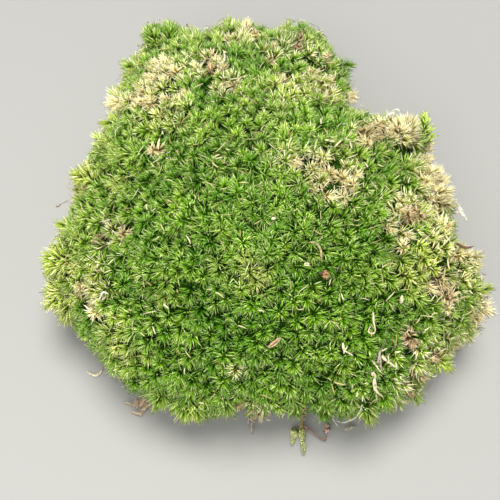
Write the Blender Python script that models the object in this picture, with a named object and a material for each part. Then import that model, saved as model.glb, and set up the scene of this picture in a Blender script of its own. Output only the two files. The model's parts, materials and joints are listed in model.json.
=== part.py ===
"""A clump of cushion moss, lifted whole and cut flat underneath, with the litter caught in it.

Metres, +Z up. The origin is on the ground under the middle of the clump: +X is its right side
and -Y its front. The moss is one body, because its shoots grew together from one mat. Stems,
straws, scales and seeds that only lie in it or beside it are bodies of their own.
"""
import math
import random

import bmesh
import bpy
import numpy as np
from mathutils import Matrix, Vector
from mathutils.bvhtree import BVHTree
from mathutils.geometry import delaunay_2d_cdt

MM = 0.001

# The cushion's envelope, which the tips of its shoots reach.
CROWN_HEIGHT = 60 * MM
BULGE_HEIGHT = 20 * MM  # the height at which the cushion is widest
BULGE_ALONG = 0.78  # the bulge's place on the way from the crown (0) to the cut foot (1)
FOOT_TUCK = 0.20  # how far the foot draws in under the bulge, as a share of its reach
FOOT_TURN = math.radians(60)  # how far the side turns under before the flat cut ends it
SIDE_FULLNESS = 0.85  # under 1, the side stands fuller than a circle's arc
TOP_FULLNESS = 0.75

# Reach of the bulge, in mm, by bearing from +X in degrees.
OUTLINE = (
    (0, 76), (14, 69), (26, 77), (35, 64),  # right lobe
    (43, 55), (50, 58), (57, 69),  # notch behind the right lobe
    (64, 80), (72, 90), (82, 92), (92, 91), (104, 94), (117, 100), (130, 94),  # back lobes
    (143, 81), (156, 75), (168, 78), (178, 77),  # left side
    (188, 82), (198, 90), (210, 88),  # left lobe
    (224, 87), (238, 88), (252, 84), (266, 82), (280, 82), (294, 92),  # front
    (308, 90), (321, 92), (334, 92), (347, 78),  # right front lobe
)

# Where the top swells or sinks: x, y, spread and rise, in mm.
LOBES = (
    (12, -34, 34, 5.0),  # front shoulder
    (-40, -46, 24, 3.0),  # left shoulder
    (-58, 30, 26, 2.5),  # left back
    (-34, 66, 22, 3.0),  # back left
    (8, 66, 20, 3.0),  # back right
    (62, 30, 22, 2.5),  # right lobe
    (66, -36, 22, 3.0),  # right front lobe
    (-66, -20, 20, -3.0),  # hollow behind the left lobe
    (36, 44, 16, -6.0),  # hollow that runs in from the notch
)

# Starry tufts, each the rosette of one shoot or of a few that stand together.
TUFTS = 390
TUFT_STRAY = 1.9 * MM  # how far a tuft stands from its even place
TUFT_UNEVENNESS = 1.5 * MM
ARM_SHARES = (0.62, 0.9)  # an arm's length, as a share of the way to the hollow between tufts
ARM_DROPS = (1.2 * MM, 2.4 * MM)  # how far an arm's tip lies under its tuft's middle
VALLEY_DROP = 5.0 * MM  # depth of the valley between two tufts
LOWEST_TUFT = 0.965  # the last tuft's place on the way from crown to foot
FOOT_POINTS = 96
GOLDEN_TURN = math.pi * (3 - math.sqrt(5))

GAP = 0.35 * MM  # between a piece of litter and what it lies on
DROP_FROM = 12 * MM  # litter starts this far off the cushion before it settles
PATH_SPANS = 4  # the fewest straight spans in a strand

COLOURS = {  # linear red, green, blue
    "moss": (0.105, 0.215, 0.035),
    "feather_moss": (0.30, 0.38, 0.07),
    "cream": (0.72, 0.62, 0.38),
    "tan": (0.48, 0.33, 0.16),
    "brown": (0.20, 0.10, 0.045),
    "red_brown": (0.26, 0.085, 0.045),
    "pink_tan": (0.46, 0.24, 0.17),
    "grey": (0.24, 0.22, 0.19),
    "white": (0.78, 0.74, 0.64),
}

# Litter on top of the moss: name, colour, full thickness in mm, then x, y along its length in mm.
STRAWS = (
    ("curled_strand_front", "tan", 0.9, (35, -54), (36, -59), (33, -61)),
    ("pale_strand_front", "cream", 0.9, (34, -72), (36, -76), (39, -78)),
    ("crossed_straw_lower", "tan", 0.7, (38, -67), (43, -70)),
    ("crossed_straw_upper", "tan", 0.7, (38, -71), (43, -66)),
    ("straw_back_left", "cream", 1.0, (21, 12), (26, 11)),
    ("straw_back_middle", "cream", 0.8, (24, 7), (29, 13)),
    ("straw_back_right", "cream", 0.8, (31, 13), (32, 8)),
    ("white_fork_stem", "white", 0.9, (24, -62), (26, -65), (28, -68)),
    ("white_fork_branch", "white", 0.8, (28, -64), (31, -65)),
    ("bent_straw_back", "cream", 0.9, (19, 47), (22, 44), (25, 46)),
    ("short_straw_back", "cream", 0.9, (14, 44), (17, 44)),
    ("angled_strand_left", "white", 0.9, (-60, -48), (-58, -44), (-55, -46)),
    ("crescent_strand", "tan", 1.1, (12, -33), (16, -32), (18, -35), (18, -39)),
    ("upright_strand_back", "cream", 1.1, (-17, 61), (-16, 55), (-17, 50)),
    ("curled_leaf_right", "cream", 1.0, (47, 27), (47, 23), (52, 24)),
    ("red_strand_left", "red_brown", 0.8, (-63, -33), (-61, -36), (-58, -35)),
)

# Scales, seeds and crumbs: name, colour, length, width, thickness, x, y in mm, heading in degrees.
FLAKES = (
    ("boat_scale", "red_brown", 6.4, 2.2, 1.0, 2, -64, 35),
    ("red_leaf_fragment", "red_brown", 4.2, 2.8, 0.9, 19, -43, 170),
    ("beige_seed", "tan", 3.6, 1.7, 1.4, 46, -49, 85),
    ("white_seed_middle", "white", 2.2, 1.3, 1.1, 2, -23, 10),
    ("white_seed_front", "white", 1.7, 1.3, 1.1, 13, -40, 40),
    ("tan_crumb", "tan", 2.6, 2.2, 1.8, -77, -21, 90),
)

# Litter held in the side of the clump: name, colour, full width and thickness in mm, then x, y, z
# along its length in mm, from its free end inwards.
SIDE_PIECES = (
    ("dark_stick_right", "brown", 0.9, 0.9, (80, -26, 40), (76, -27, 42), (72, -26, 45)),
    ("pale_stalk_right", "cream", 0.8, 0.8, (86, -43, 34), (82, -43, 37), (79, -43, 39)),
    ("curved_leaf_right", "cream", 1.7, 0.7, (73, 12, 30), (75, 17, 31), (73, 21, 34)),
    ("white_flake_right", "white", 3.0, 0.8, (80, -8, 28), (79, -4, 32), (77, 0, 35)),
    ("stalk_left", "tan", 0.6, 0.6, (-83, 6, 27), (-79, 3, 30), (-75, 0, 33)),
    ("old_stem_front", "brown", 0.9, 0.9, (10, -84, 8), (8, -85, 12), (5, -85, 15)),
    ("rootlet_front", "tan", 0.8, 0.8, (26, -82, 6), (30, -86, 9), (35, -88, 16), (34, -88, 22)),
)

# Litter on the ground at the clump's foot, as above.
GROUND_PIECES = (
    ("grey_straw", "grey", 0.8, 0.8, (30, -83, 0.6), (34, -83, 0.6)),
    ("bent_blade_left", "cream", 1.4, 0.7, (-72, -58, 0.6), (-67, -61, 0.6), (-64, -57, 0.6)),
    ("dead_leaf_left", "brown", 4.2, 1.4, (-56, -70, 1.2), (-51, -73, 1.4), (-46, -76, 1.0)),
    ("dead_strand_left", "tan", 0.8, 0.8, (-58, -74, 0.6), (-54, -76.5, 0.6), (-49, -79, 0.6)),
    ("bud_scale", "pink_tan", 2.8, 1.4, (23.5, -84.6, 1.0), (23.5, -81, 1.2), (23.3, -79.6, 1.0)),
    ("twig", "red_brown", 1.0, 0.9, (16, -81.6, 1.0), (19, -83.3, 0.8), (21.2, -85, 0.8)),
    ("twig_fork_long", "red_brown", 0.8, 0.8, (21.9, -85.6, 0.6), (24.4, -87, 0.6)),
    ("twig_fork_short", "red_brown", 0.7, 0.7, (21.9, -84.5, 0.6), (24.2, -84.3, 0.6)),
    ("sprig_stem", "feather_moss", 1.2, 1.1, (12, -79.5, 9), (13, -81.2, 5), (13.2, -83, 1.8)),
    ("sprig_branch_left", "feather_moss", 3.2, 1.6, (12, -83.2, 1.3), (9.9, -85.4, 1), (9, -89, 1)),
    ("sprig_branch_right", "feather_moss", 3.4, 1.6, (13.6, -84.4, 1.3), (13.6, -88, 1), (13, -93, 1)),
)


# ---- The cushion's envelope ----

def outline_reach(bearing):
    """The bulge's reach on a bearing in radians, on a smooth closed curve through OUTLINE."""
    count = len(OUTLINE)
    degrees = math.degrees(bearing) % 360
    last = max(i for i in range(count) if OUTLINE[i][0] <= degrees)

    def point(i):
        turns, place = divmod(i, count)
        return OUTLINE[place][0] + 360 * turns, OUTLINE[place][1] * MM

    (b0, r0), (b1, r1), (b2, r2), (b3, r3) = (point(last + i) for i in (-1, 0, 1, 2))
    span = b2 - b1
    u = (degrees - b1) / span
    slope_in = (r2 - r0) / (b2 - b0) * span
    slope_out = (r3 - r1) / (b3 - b1) * span
    return (
        (2 * u**3 - 3 * u**2 + 1) * r1
        + (u**3 - 2 * u**2 + u) * slope_in
        + (3 * u**2 - 2 * u**3) * r2
        + (u**3 - u**2) * slope_out
    )


MEAN_REACH = sum(reach for _, reach in OUTLINE) * MM / len(OUTLINE)


def profile(along):
    """The share of the bulge's reach, and the height, on the way from crown (0) to foot (1)."""
    if along <= BULGE_ALONG:
        turn = math.pi / 2 * along / BULGE_ALONG
        share = math.sin(turn) ** SIDE_FULLNESS
        rise = max(math.cos(turn), 0) ** TOP_FULLNESS
        return share, BULGE_HEIGHT + (CROWN_HEIGHT - BULGE_HEIGHT) * rise
    turn = FOOT_TURN * (along - BULGE_ALONG) / (1 - BULGE_ALONG)
    share = 1 - FOOT_TUCK * (1 - math.cos(turn)) / (1 - math.cos(FOOT_TURN))
    return share, BULGE_HEIGHT * (1 - math.sin(turn) / math.sin(FOOT_TURN))


def envelope(bearing, along):
    """A point of the cushion's envelope."""
    share, height = profile(along)
    radius = share * (MEAN_REACH + (outline_reach(bearing) - MEAN_REACH) * share**2)
    x = radius * math.cos(bearing)
    y = radius * math.sin(bearing)
    above_bulge = max(height - BULGE_HEIGHT, 0) / (CROWN_HEIGHT - BULGE_HEIGHT)
    for lobe_x, lobe_y, spread, rise in LOBES:
        distance = math.hypot(x - lobe_x * MM, y - lobe_y * MM) / (spread * MM)
        height += rise * MM * math.sqrt(above_bulge) * math.exp(-distance**2)
    return Vector((x, y, height))


def outward(bearing, along):
    """The direction out of the envelope at a point."""
    step = 0.01
    down = envelope(bearing, min(along + step, 1)) - envelope(bearing, max(along - step, 0.001))
    across = envelope(bearing + step, max(along, step)) - envelope(bearing - step, max(along, step))
    return down.cross(across).normalized()


def above(x, y):
    """The envelope's upper point over a place in plan, and the direction out of it there."""
    bearing = math.atan2(y, x)
    low, high = 0.0, BULGE_ALONG
    for _ in range(30):
        middle = (low + high) / 2
        if envelope(bearing, middle).xy.length < math.hypot(x, y):
            low = middle
        else:
            high = middle
    return envelope(bearing, low), outward(bearing, low)


# ---- A flat chart of the envelope, which keeps small shapes round ----

def mean_chart():
    """Columns down the mean profile: way from the crown, chart radius, real radius and area."""
    ways = np.linspace(0.002, 1, 500)
    sections = np.array([profile(way) for way in ways])
    radii = sections[:, 0] * MEAN_REACH
    steps = np.hypot(np.diff(radii), np.diff(sections[:, 1]))
    middles = (radii[1:] + radii[:-1]) / 2
    stretch = np.concatenate([[0], np.cumsum(steps / middles)])
    areas = np.concatenate([[0], np.cumsum(steps * middles)])
    return ways, np.exp(stretch), radii, areas / areas[-1]


CHART_WAYS, CHART_RADII, REAL_RADII, CHART_AREAS = mean_chart()


def spot(bearing, along):
    """The chart's point for a place on the envelope."""
    radius = float(np.interp(along, CHART_WAYS, CHART_RADII))
    return Vector((radius * math.cos(bearing), radius * math.sin(bearing)))


def chart_scale(point):
    """Chart lengths per metre at a point of the chart."""
    return point.length / float(np.interp(point.length, CHART_RADII, REAL_RADII))


def place(point, drop):
    """The real point, sunk by drop under the envelope, for a point of the chart."""
    bearing = math.atan2(point.y, point.x)
    along = float(np.interp(point.length, CHART_RADII, CHART_WAYS))
    return envelope(bearing, along) - outward(bearing, along) * drop


def triangles_between(spots):
    """Delaunay triangles of points in the chart, as index triples."""
    found = delaunay_2d_cdt(spots, [], [], 0, 0.0)
    origin = [ids[0] for ids in found[3]]
    return [[origin[i] for i in face] for face in found[2]]


# ---- Making objects ----

def material(colour):
    """The Principled material of a named colour, made once."""
    found = bpy.data.materials.get(colour)
    if found:
        return found
    made = bpy.data.materials.new(colour)
    made.use_nodes = True
    shader = made.node_tree.nodes["Principled BSDF"]
    shader.inputs["Base Color"].default_value = (*COLOURS[colour], 1)
    shader.inputs["Roughness"].default_value = 0.75
    shader.inputs["Metallic"].default_value = 0.0
    return made


def add_object(name, vertices, faces, colour, smooth):
    """An object of one closed mesh with its faces pointing out."""
    mesh = bpy.data.meshes.new(name)
    mesh.from_pydata([tuple(v) for v in vertices], [], faces)
    work = bmesh.new()
    work.from_mesh(mesh)
    bmesh.ops.recalc_face_normals(work, faces=work.faces)
    work.to_mesh(mesh)
    work.free()
    mesh.materials.append(material(colour))
    if smooth:
        mesh.shade_smooth()
    made = bpy.data.objects.new(name, mesh)
    bpy.context.scene.collection.objects.link(made)
    return made


def make_cushion():
    """The moss: starry tufts over the envelope, closed by the flat cut."""
    chance = random.Random(11)
    tufts = []
    for number in range(TUFTS):
        area = (number + 0.5) / TUFTS * float(np.interp(LOWEST_TUFT, CHART_WAYS, CHART_AREAS))
        along = float(np.interp(area, CHART_AREAS, CHART_WAYS))
        even = spot(number * GOLDEN_TURN, along)
        stray = Vector((chance.uniform(-1, 1), chance.uniform(-1, 1))) * TUFT_STRAY
        tufts.append(even + stray * chart_scale(even))
    foot = [spot(math.tau * i / FOOT_POINTS, 1.0) for i in range(FOOT_POINTS)]
    tuft_drops = [chance.uniform(0, TUFT_UNEVENNESS) for _ in tufts]

    arms, arm_drops, pairs = [], [], set()
    for corners in triangles_between(tufts + foot):
        hollow = sum(((tufts + foot)[i] for i in corners), Vector((0, 0))) / 3
        inside = [i for i in corners if i < TUFTS]
        for i in inside:
            arms.append(tufts[i].lerp(hollow, chance.uniform(*ARM_SHARES)))
            arm_drops.append(tuft_drops[i] + chance.uniform(*ARM_DROPS))
        pairs |= {(a, b) for a in inside for b in inside if a < b}
    valleys = [(tufts[a] + tufts[b]) / 2 for a, b in sorted(pairs)]

    spots = foot + tufts + arms + valleys
    drops = [0.0] * FOOT_POINTS + tuft_drops + arm_drops + [VALLEY_DROP] * len(valleys)
    vertices = [place(point, drop) for point, drop in zip(spots, drops)]
    for vertex in vertices[:FOOT_POINTS]:
        vertex.z = 0.0
    faces = triangles_between(spots)
    faces += [[i, (i + 1) % FOOT_POINTS, len(vertices)] for i in range(FOOT_POINTS)]
    vertices.append(Vector((0, 0, 0)))
    return add_object("moss_cushion", vertices, faces, "moss", smooth=False)


def smooth_path(points):
    """Points on a smooth curve through the given ones, PATH_SPANS of it or a few more."""
    steps = math.ceil(PATH_SPANS / (len(points) - 1))
    ends = [points[0] * 2 - points[1], *points, points[-1] * 2 - points[-2]]
    path = []
    for i in range(1, len(points)):
        p0, p1, p2, p3 = ends[i - 1 : i + 3]
        for step in range(steps):
            t = step / steps
            path.append(
                (p1 * 2 + (p2 - p0) * t + (p0 * 2 - p1 * 5 + p2 * 4 - p3) * t**2
                 + (p1 * 3 - p0 - p2 * 3 + p3) * t**3) / 2
            )
    return [*path, points[-1]]


def swept(name, colour, path, up, width, thickness, fullness, sides):
    """A closed body along a path, oval across and drawn to a point at both ends."""
    vertices = [path[0]]
    last = len(path) - 1
    for i in range(1, last):
        forward = (path[i + 1] - path[i - 1]).normalized()
        side = forward.cross(up).normalized()
        lift = side.cross(forward)
        size = math.sin(math.pi * i / last) ** fullness
        for k in range(sides):
            turn = math.tau * k / sides
            vertices.append(
                path[i]
                + side * (width / 2 * size * math.cos(turn))
                + lift * (thickness / 2 * size * math.sin(turn))
            )
    vertices.append(path[-1])
    end = len(vertices) - 1
    faces = []
    for k in range(sides):
        after = (k + 1) % sides
        faces.append([0, 1 + after, 1 + k])
        faces.append([end, end - sides + k, end - sides + after])
        for ring in range(last - 2):
            start = 1 + ring * sides
            faces.append([start + k, start + after, start + sides + after, start + sides + k])
    return add_object(name, vertices, faces, colour, smooth=True)


def tree_of(piece):
    """A search tree of a piece's triangles."""
    work = bmesh.new()
    work.from_mesh(piece.data)
    bmesh.ops.triangulate(work, faces=work.faces)
    tree = BVHTree.FromBMesh(work)
    work.free()
    return tree


def probes(piece):
    """Points over a piece's surface: its corners, and three more on each edge."""
    corners = [vertex.co for vertex in piece.data.vertices]
    edges = [[corners[i] for i in edge.vertices] for edge in piece.data.edges]
    return corners + [a.lerp(b, share) for a, b in edges for share in (0.25, 0.5, 0.75)]


def settle(piece, placed, direction):
    """Moves a piece along a direction until it all but touches one already placed, and adds it."""
    own_tree = tree_of(piece)
    own_probes = probes(piece)
    reach = DROP_FROM * 4
    middle = own_probes[0]
    ways = []
    for tree, other_probes in placed:
        ways += [tree.ray_cast(point, direction, reach)[3] for point in own_probes]
        ways += [
            own_tree.ray_cast(point, -direction, reach)[3]
            for point in other_probes
            if (point - middle).length < reach
        ]
    clear = min(way for way in ways if way is not None)
    for vertex in piece.data.vertices:
        vertex.co += direction * (clear - GAP)
    placed.append((tree_of(piece), probes(piece)))


def add_straws(placed):
    """Straws and strands that lie on the moss."""
    for name, colour, thickness, *plan in STRAWS:
        found = [above(x * MM, y * MM) for x, y in plan]
        up = sum((normal for _, normal in found), Vector()).normalized()
        path = smooth_path([point + up * DROP_FROM for point, _ in found])
        straw = swept(name, colour, path, up, thickness * MM, thickness * MM, 0.35, 5)
        settle(straw, placed, -up)


def add_flakes(placed):
    """Scales, seeds and crumbs that lie on the moss."""
    for name, colour, length, width, thickness, x, y, heading in FLAKES:
        point, up = above(x * MM, y * MM)
        turn = math.radians(heading)
        forward = Vector((math.cos(turn), math.sin(turn), 0))
        forward = (forward - up * forward.dot(up)).normalized()
        middle = point + up * DROP_FROM
        path = [middle + forward * (length * MM * (i / 6 - 0.5)) for i in range(7)]
        flake = swept(name, colour, path, up, width * MM, thickness * MM, 0.7, 6)
        settle(flake, placed, -up)


def add_side_pieces(placed):
    """Litter held in the side of the clump, each piece pushed in from outside."""
    for name, colour, width, thickness, *points in SIDE_PIECES:
        inner = Vector(points[-1]) * MM
        inwards = Vector((-inner.x, -inner.y, 0)).normalized()
        path = smooth_path([Vector(p) * MM - inwards * DROP_FROM for p in points])
        piece = swept(name, colour, path, -inwards, width * MM, thickness * MM, 0.35, 5)
        settle(piece, placed, inwards)


def add_ground_pieces():
    """Litter on the ground at the foot."""
    for name, colour, width, thickness, *points in GROUND_PIECES:
        path = smooth_path([Vector(p) * MM for p in points])
        swept(name, colour, path, Vector((0, 0, 1)), width * MM, thickness * MM, 0.5, 6)


def centre_over_origin():
    """Moves everything sideways, so that the origin is under the middle of its box."""
    meshes = [piece.data for piece in bpy.data.objects]
    corners = [vertex.co for mesh in meshes for vertex in mesh.vertices]
    middle = [(min(c[axis] for c in corners) + max(c[axis] for c in corners)) / 2 for axis in (0, 1)]
    for mesh in meshes:
        mesh.transform(Matrix.Translation((-middle[0], -middle[1], 0)))


def main():
    for old in list(bpy.data.objects):
        bpy.data.objects.remove(old, do_unlink=True)
    cushion = make_cushion()
    placed = [(tree_of(cushion), probes(cushion))]
    add_straws(placed)
    add_flakes(placed)
    add_side_pieces(placed)
    add_ground_pieces()
    centre_over_origin()


main()
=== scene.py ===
"""Dresses the moss clump: leafy shoots over the cushion, its thatch, and the litter caught in it.

Metres, +Z up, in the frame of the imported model. A place taken from the photograph is a named pixel
of its 500 x 500 frame, and a line of sight is followed from it to the cushion that carries a piece.
"""
import json
import math
import random
from collections import namedtuple
from functools import reduce

import bmesh
import bpy
import numpy as np
from bpy.props import FloatProperty, FloatVectorProperty, IntProperty, PointerProperty
from mathutils import Matrix, Vector, noise
from mathutils.bvhtree import BVHTree

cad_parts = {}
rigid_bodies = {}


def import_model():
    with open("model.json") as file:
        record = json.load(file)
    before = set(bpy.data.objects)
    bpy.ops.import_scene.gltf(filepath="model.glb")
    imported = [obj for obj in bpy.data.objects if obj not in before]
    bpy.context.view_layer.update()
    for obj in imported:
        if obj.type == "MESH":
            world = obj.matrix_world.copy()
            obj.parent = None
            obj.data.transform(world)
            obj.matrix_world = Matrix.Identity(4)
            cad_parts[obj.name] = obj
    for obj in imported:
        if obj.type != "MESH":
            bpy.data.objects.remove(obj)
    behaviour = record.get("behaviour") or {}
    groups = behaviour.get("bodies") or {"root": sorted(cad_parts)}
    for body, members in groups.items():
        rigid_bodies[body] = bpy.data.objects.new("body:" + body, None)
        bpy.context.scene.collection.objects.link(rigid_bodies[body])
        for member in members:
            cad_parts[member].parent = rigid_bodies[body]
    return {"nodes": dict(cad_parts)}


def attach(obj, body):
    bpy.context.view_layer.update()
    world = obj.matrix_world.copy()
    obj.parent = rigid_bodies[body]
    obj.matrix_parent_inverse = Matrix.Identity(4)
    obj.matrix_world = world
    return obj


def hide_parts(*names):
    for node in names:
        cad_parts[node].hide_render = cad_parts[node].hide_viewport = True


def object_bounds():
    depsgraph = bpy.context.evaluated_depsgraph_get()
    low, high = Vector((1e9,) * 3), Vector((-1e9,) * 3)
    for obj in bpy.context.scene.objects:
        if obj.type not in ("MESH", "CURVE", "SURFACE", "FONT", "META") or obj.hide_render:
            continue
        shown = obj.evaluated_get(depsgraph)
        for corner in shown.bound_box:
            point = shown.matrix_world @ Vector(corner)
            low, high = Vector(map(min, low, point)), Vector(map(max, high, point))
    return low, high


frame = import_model()
CAD_LOW, CAD_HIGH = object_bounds()

bl_info = {
    "name": "Moss clump",
    "version": (1, 0, 0),
    "blender": (4, 5, 0),
    "location": "View3D > Sidebar > Moss",
    "description": "Leafy shoots, thatch and litter for a clump of cushion moss",
    "category": "Add Mesh",
}

MM = 0.001
BODY = "root"
CUSHION = "moss_cushion"

# The photograph's view.
PHOTO_SIDE = 500
LENS = 50.0
SENSOR = 36.0
CAMERA_AIM = Vector((-4.7, -13.6, 20)) * MM
CAMERA_DISTANCE = 278 * MM
CAMERA_ELEVATION = math.radians(64)

FLOOR_RADIUS = 12.0  # metres
FLOOR_SIDES = 64
KEY_PLACE = (0.03, 0.18, 0.72)
KEY_SPREAD = math.radians(34)  # how wide it is in the sky
FILL_PLACE = (-0.22, -0.48, 0.56)
FILL_SIZE = 0.6  # metres
LAMP_COLOUR = (1.0, 0.985, 0.95)
SKY_COLOUR = (1.0, 0.99, 0.96, 1)

UP = Vector((0, 0, 1))
GOLDEN_TURN = math.pi * (3 - math.sqrt(5))

# A leaf is a closed shell of five corners: its base, its two edges where it is widest, and the two
# ends of its blunt tip.
LEAF_BELLY = 0.45  # how far along it is widest
LEAF_TIP = 0.42  # how wide its tip is, as a share of its greatest width
# A strand is a closed spindle: an end, rings of three corners and an end. A ring is its place along
# the strand and its share of the strand's width.
STRAND_RINGS = ((0.10, 0.75), (0.30, 1.0), (0.50, 1.0), (0.70, 0.9), (0.90, 0.6))
TIP_LEVEL = 3.2  # mm from the carrier, halfway into the tufts, up to the tips
BARE_STEM = 5  # mm of stem below a shoot's lowest leaves
STEM_WIDTH = 0.5  # mm

# Shoots: name, count, leaves, leafy length of stem, angles off the stem of the lowest and the
# topmost leaf and their disorder in degrees, their lengths, how far a leaf arches, its width.
# Lengths are in mm.
GREEN_FORMS = (
    ("open_fan", 5, 72, 2.8, 66, 20, 12, 5.6, 3.6, 0.20, 0.42),
    ("fan", 6, 72, 3.4, 54, 12, 10, 6.2, 4.3, 0.18, 0.42),
    ("brush", 6, 72, 4.0, 46, 8, 8, 6.8, 4.8, 0.16, 0.40),
)
DRY_FORMS = (
    ("curled", 4, 66, 3.0, 78, 14, 28, 5.0, 3.8, 0.40, 0.42),
    ("wispy", 4, 66, 4.0, 62, 10, 26, 5.6, 4.2, -0.30, 0.38),
    ("flattened", 3, 66, 2.6, 90, 40, 30, 5.2, 4.0, 0.30, 0.42),
)

# The cushion's fifths: the name of each piece, and the bearing from +X in degrees where it starts.
WEDGES = (
    ("shoots_right", -36),
    ("shoots_back_right", 36),
    ("shoots_back_left", 108),
    ("shoots_front_left", 180),
    ("shoots_front_right", 252),
)
WEDGE_WIDTH = 72

# Where the moss changes: what is there, its pixel, its spread in mm, then how far its shoots are
# dry, brown and pale, each from 0 to 1.
ZONES = (
    ("cream band at the upper left", (158, 76), 10.5, 0.95, 0.05, 0.9),
    ("cream band's lower end", (140, 92), 9, 0.95, 0.15, 0.9),
    ("white star at the upper left", (116, 102), 6.5, 0.9, 0.0, 1.0),
    ("pale bank under the band", (160, 104), 10.5, 0.35, 0.0, 0.9),
    ("pale fringe at the upper left", (134, 60), 10.5, 0.05, 0.0, 0.8),
    ("tangle of old stems", (203, 61), 8, 1.0, 0.9, 0.4),
    ("tan tuft at the top", (227, 82), 6, 1.0, 0.3, 0.4),
    ("cream fork at the top", (240, 36), 8, 0.55, 0.0, 0.9),
    ("pale bank at the top", (205, 34), 10.5, 0.05, 0.1, 0.6),
    ("tan tuft at the top right", (272, 51), 5, 0.95, 0.15, 0.6),
    ("olive bank at the top right", (304, 45), 13, 0.4, 0.9, 0.3),
    ("flush of tan right of the top", (290, 84), 10.5, 0.3, 0.5, 0.6),
    ("straw in the saddle", (326, 84), 9, 0.45, 0.1, 0.7),
    ("cream star beside the notch", (347, 96), 4, 1.0, 0.1, 0.6),
    ("tan tuft on the left", (158, 152), 5, 0.35, 0.3, 0.4),
    ("brown tips in the middle", (283, 158), 6.5, 0.3, 0.7, 0.3),
    ("pale moss round the straw patch", (328, 172), 13, 0.25, 0.0, 0.8),
    ("straw patch right of the middle", (342, 184), 9, 1.0, 0.0, 1.0),
    ("middle of the straw patch", (332, 175), 9, 1.0, 0.0, 1.0),
    ("straw patch's upper end", (319, 164), 7.5, 0.85, 0.2, 1.0),
    ("light moss in the upper middle", (240, 120), 15, 0.0, 0.0, 0.3),
    ("cream top of the right lobe", (398, 124), 10.5, 1.0, 0.05, 0.9),
    ("pinkish top of the right lobe", (374, 130), 8, 0.95, 0.45, 0.6),
    ("tan neck of the right lobe", (417, 148), 6.5, 0.7, 0.5, 0.6),
    ("cream rim's upper end", (427, 150), 5, 1.0, 0.2, 0.9),
    ("cream rim of the right lobe", (432, 168), 7, 1.0, 0.0, 0.9),
    ("cream flank of the right lobe", (437, 190), 10, 1.0, 0.0, 0.9),
    ("brown hollow of the right lobe", (408, 212), 8, 0.95, 0.8, 0.4),
    ("cream knot under the hollow", (404, 236), 4.5, 1.0, 0.0, 0.8),
    ("pale bank under the flank", (446, 232), 10.5, 0.45, 0.1, 0.9),
    ("yellow mound of the right front lobe", (418, 262), 11.5, 0.0, 0.0, 0.8),
    ("pale shoulder of the right front lobe", (466, 262), 11.5, 0.6, 0.15, 0.9),
    ("tan patch of the right front lobe", (446, 292), 6.5, 0.8, 0.45, 0.5),
    ("tan corner of the right front lobe", (482, 312), 8, 0.75, 0.4, 0.6),
    ("pale flank of the right front lobe", (464, 340), 11.5, 0.35, 0.25, 0.7),
    ("olive flank at the lower right", (434, 366), 13, 0.45, 0.85, 0.3),
    ("brown tangle at the lower right", (414, 349), 6, 0.5, 0.95, 0.3),
    ("straws at the lower right", (388, 362), 5, 0.4, 0.4, 0.4),
    ("olive foot at the right front", (410, 388), 9, 0.5, 1.0, 0.3),
    ("brown foot at the right front", (366, 404), 5, 0.6, 1.0, 0.2),
    ("brown foot at the front", (250, 412), 9, 0.6, 0.9, 0.2),
    ("tan star at the front", (238, 372), 3, 1.0, 0.35, 0.1),
    ("tan ledge of the left lobe", (90, 290), 8, 0.5, 0.4, 1.0),
    ("pale tips of the left lobe", (56, 262), 10.5, 0.0, 0.1, 0.7),
    ("pale lower tips of the left lobe", (58, 300), 10.5, 0.0, 0.1, 0.8),
    ("brown stems behind the left lobe", (108, 238), 8, 0.35, 0.8, 0.4),
    ("pale edge on the left", (82, 178), 9, 0.05, 0.1, 0.6),
    ("brown seam of the left lobe", (92, 264), 5, 0.4, 0.9, 0.3),
    ("yellow ledge in the middle", (250, 270), 8, 0.0, 0.0, 0.9),
    ("pale star left of the ledge", (222, 268), 4, 0.0, 0.0, 0.7),
    ("pale foot at the left", (118, 350), 10.5, 0.05, 0.1, 0.6),
)
STRAY_DRY = 0.006  # the chance of a dry shoot away from those places
# The same share also darkens the shoots' tone there, which is painted shade.
FOOT_THINNED_AND_SHADED = 0.6  # how far the shoots are thinned out at the front foot
FOOT_GROWTH = 0.3  # how much larger they are there
GREEN_FRONT = (262, 330)  # the pixel in the middle of the greenest moss
GREEN_REACH = 44 * MM  # how far it spreads
FEW_BITS = 0.22  # how many dead bits lie there, as a share of those elsewhere

# Hummocks that rise out of the cushion, and dips: what is there, its pixel, its spread and its rise
# in mm.
HUMMOCKS = (
    ("bump at the top left", (162, 40), 9, 6.4),
    ("bump at the top", (232, 28), 11, 4.4),
    ("bump at the top right", (300, 32), 9, 4.6),
    ("spur beside the notch", (348, 68), 6, 2.0),
    ("top of the right lobe", (404, 128), 9, 2.2),
    ("flank of the right lobe", (450, 210), 9, 0.8),
    ("shoulder of the right front lobe", (468, 262), 10, 2.8),
    ("corner of the right front lobe", (478, 318), 10, 2.6),
    ("foot of the right front lobe", (424, 388), 10, 2.0),
    ("upper left edge", (118, 100), 8, 2.4),
    ("left edge", (76, 185), 9, 1.4),
    ("tip of the left lobe", (52, 262), 8, 3.0),
    ("lower tip of the left lobe", (60, 308), 7, 3.0),
    ("front left foot", (188, 408), 11, 1.8),
    ("front foot", (262, 412), 9, 1.8),
    ("ledge in the middle", (252, 266), 9, 3.0),
    ("gully under the ledge", (268, 288), 6, -2.5),
    ("gap under the left lobe", (82, 306), 5, -4.0),
    ("gully left of the middle", (120, 285), 7, -2.5),
    ("gully in front of the straw patch", (335, 210), 7, -1.2),
    ("corner of the notch", (361, 117), 5, -3.0),
    ("hollow behind the rootlet", (346, 418), 6, -2.5),
)
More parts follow.
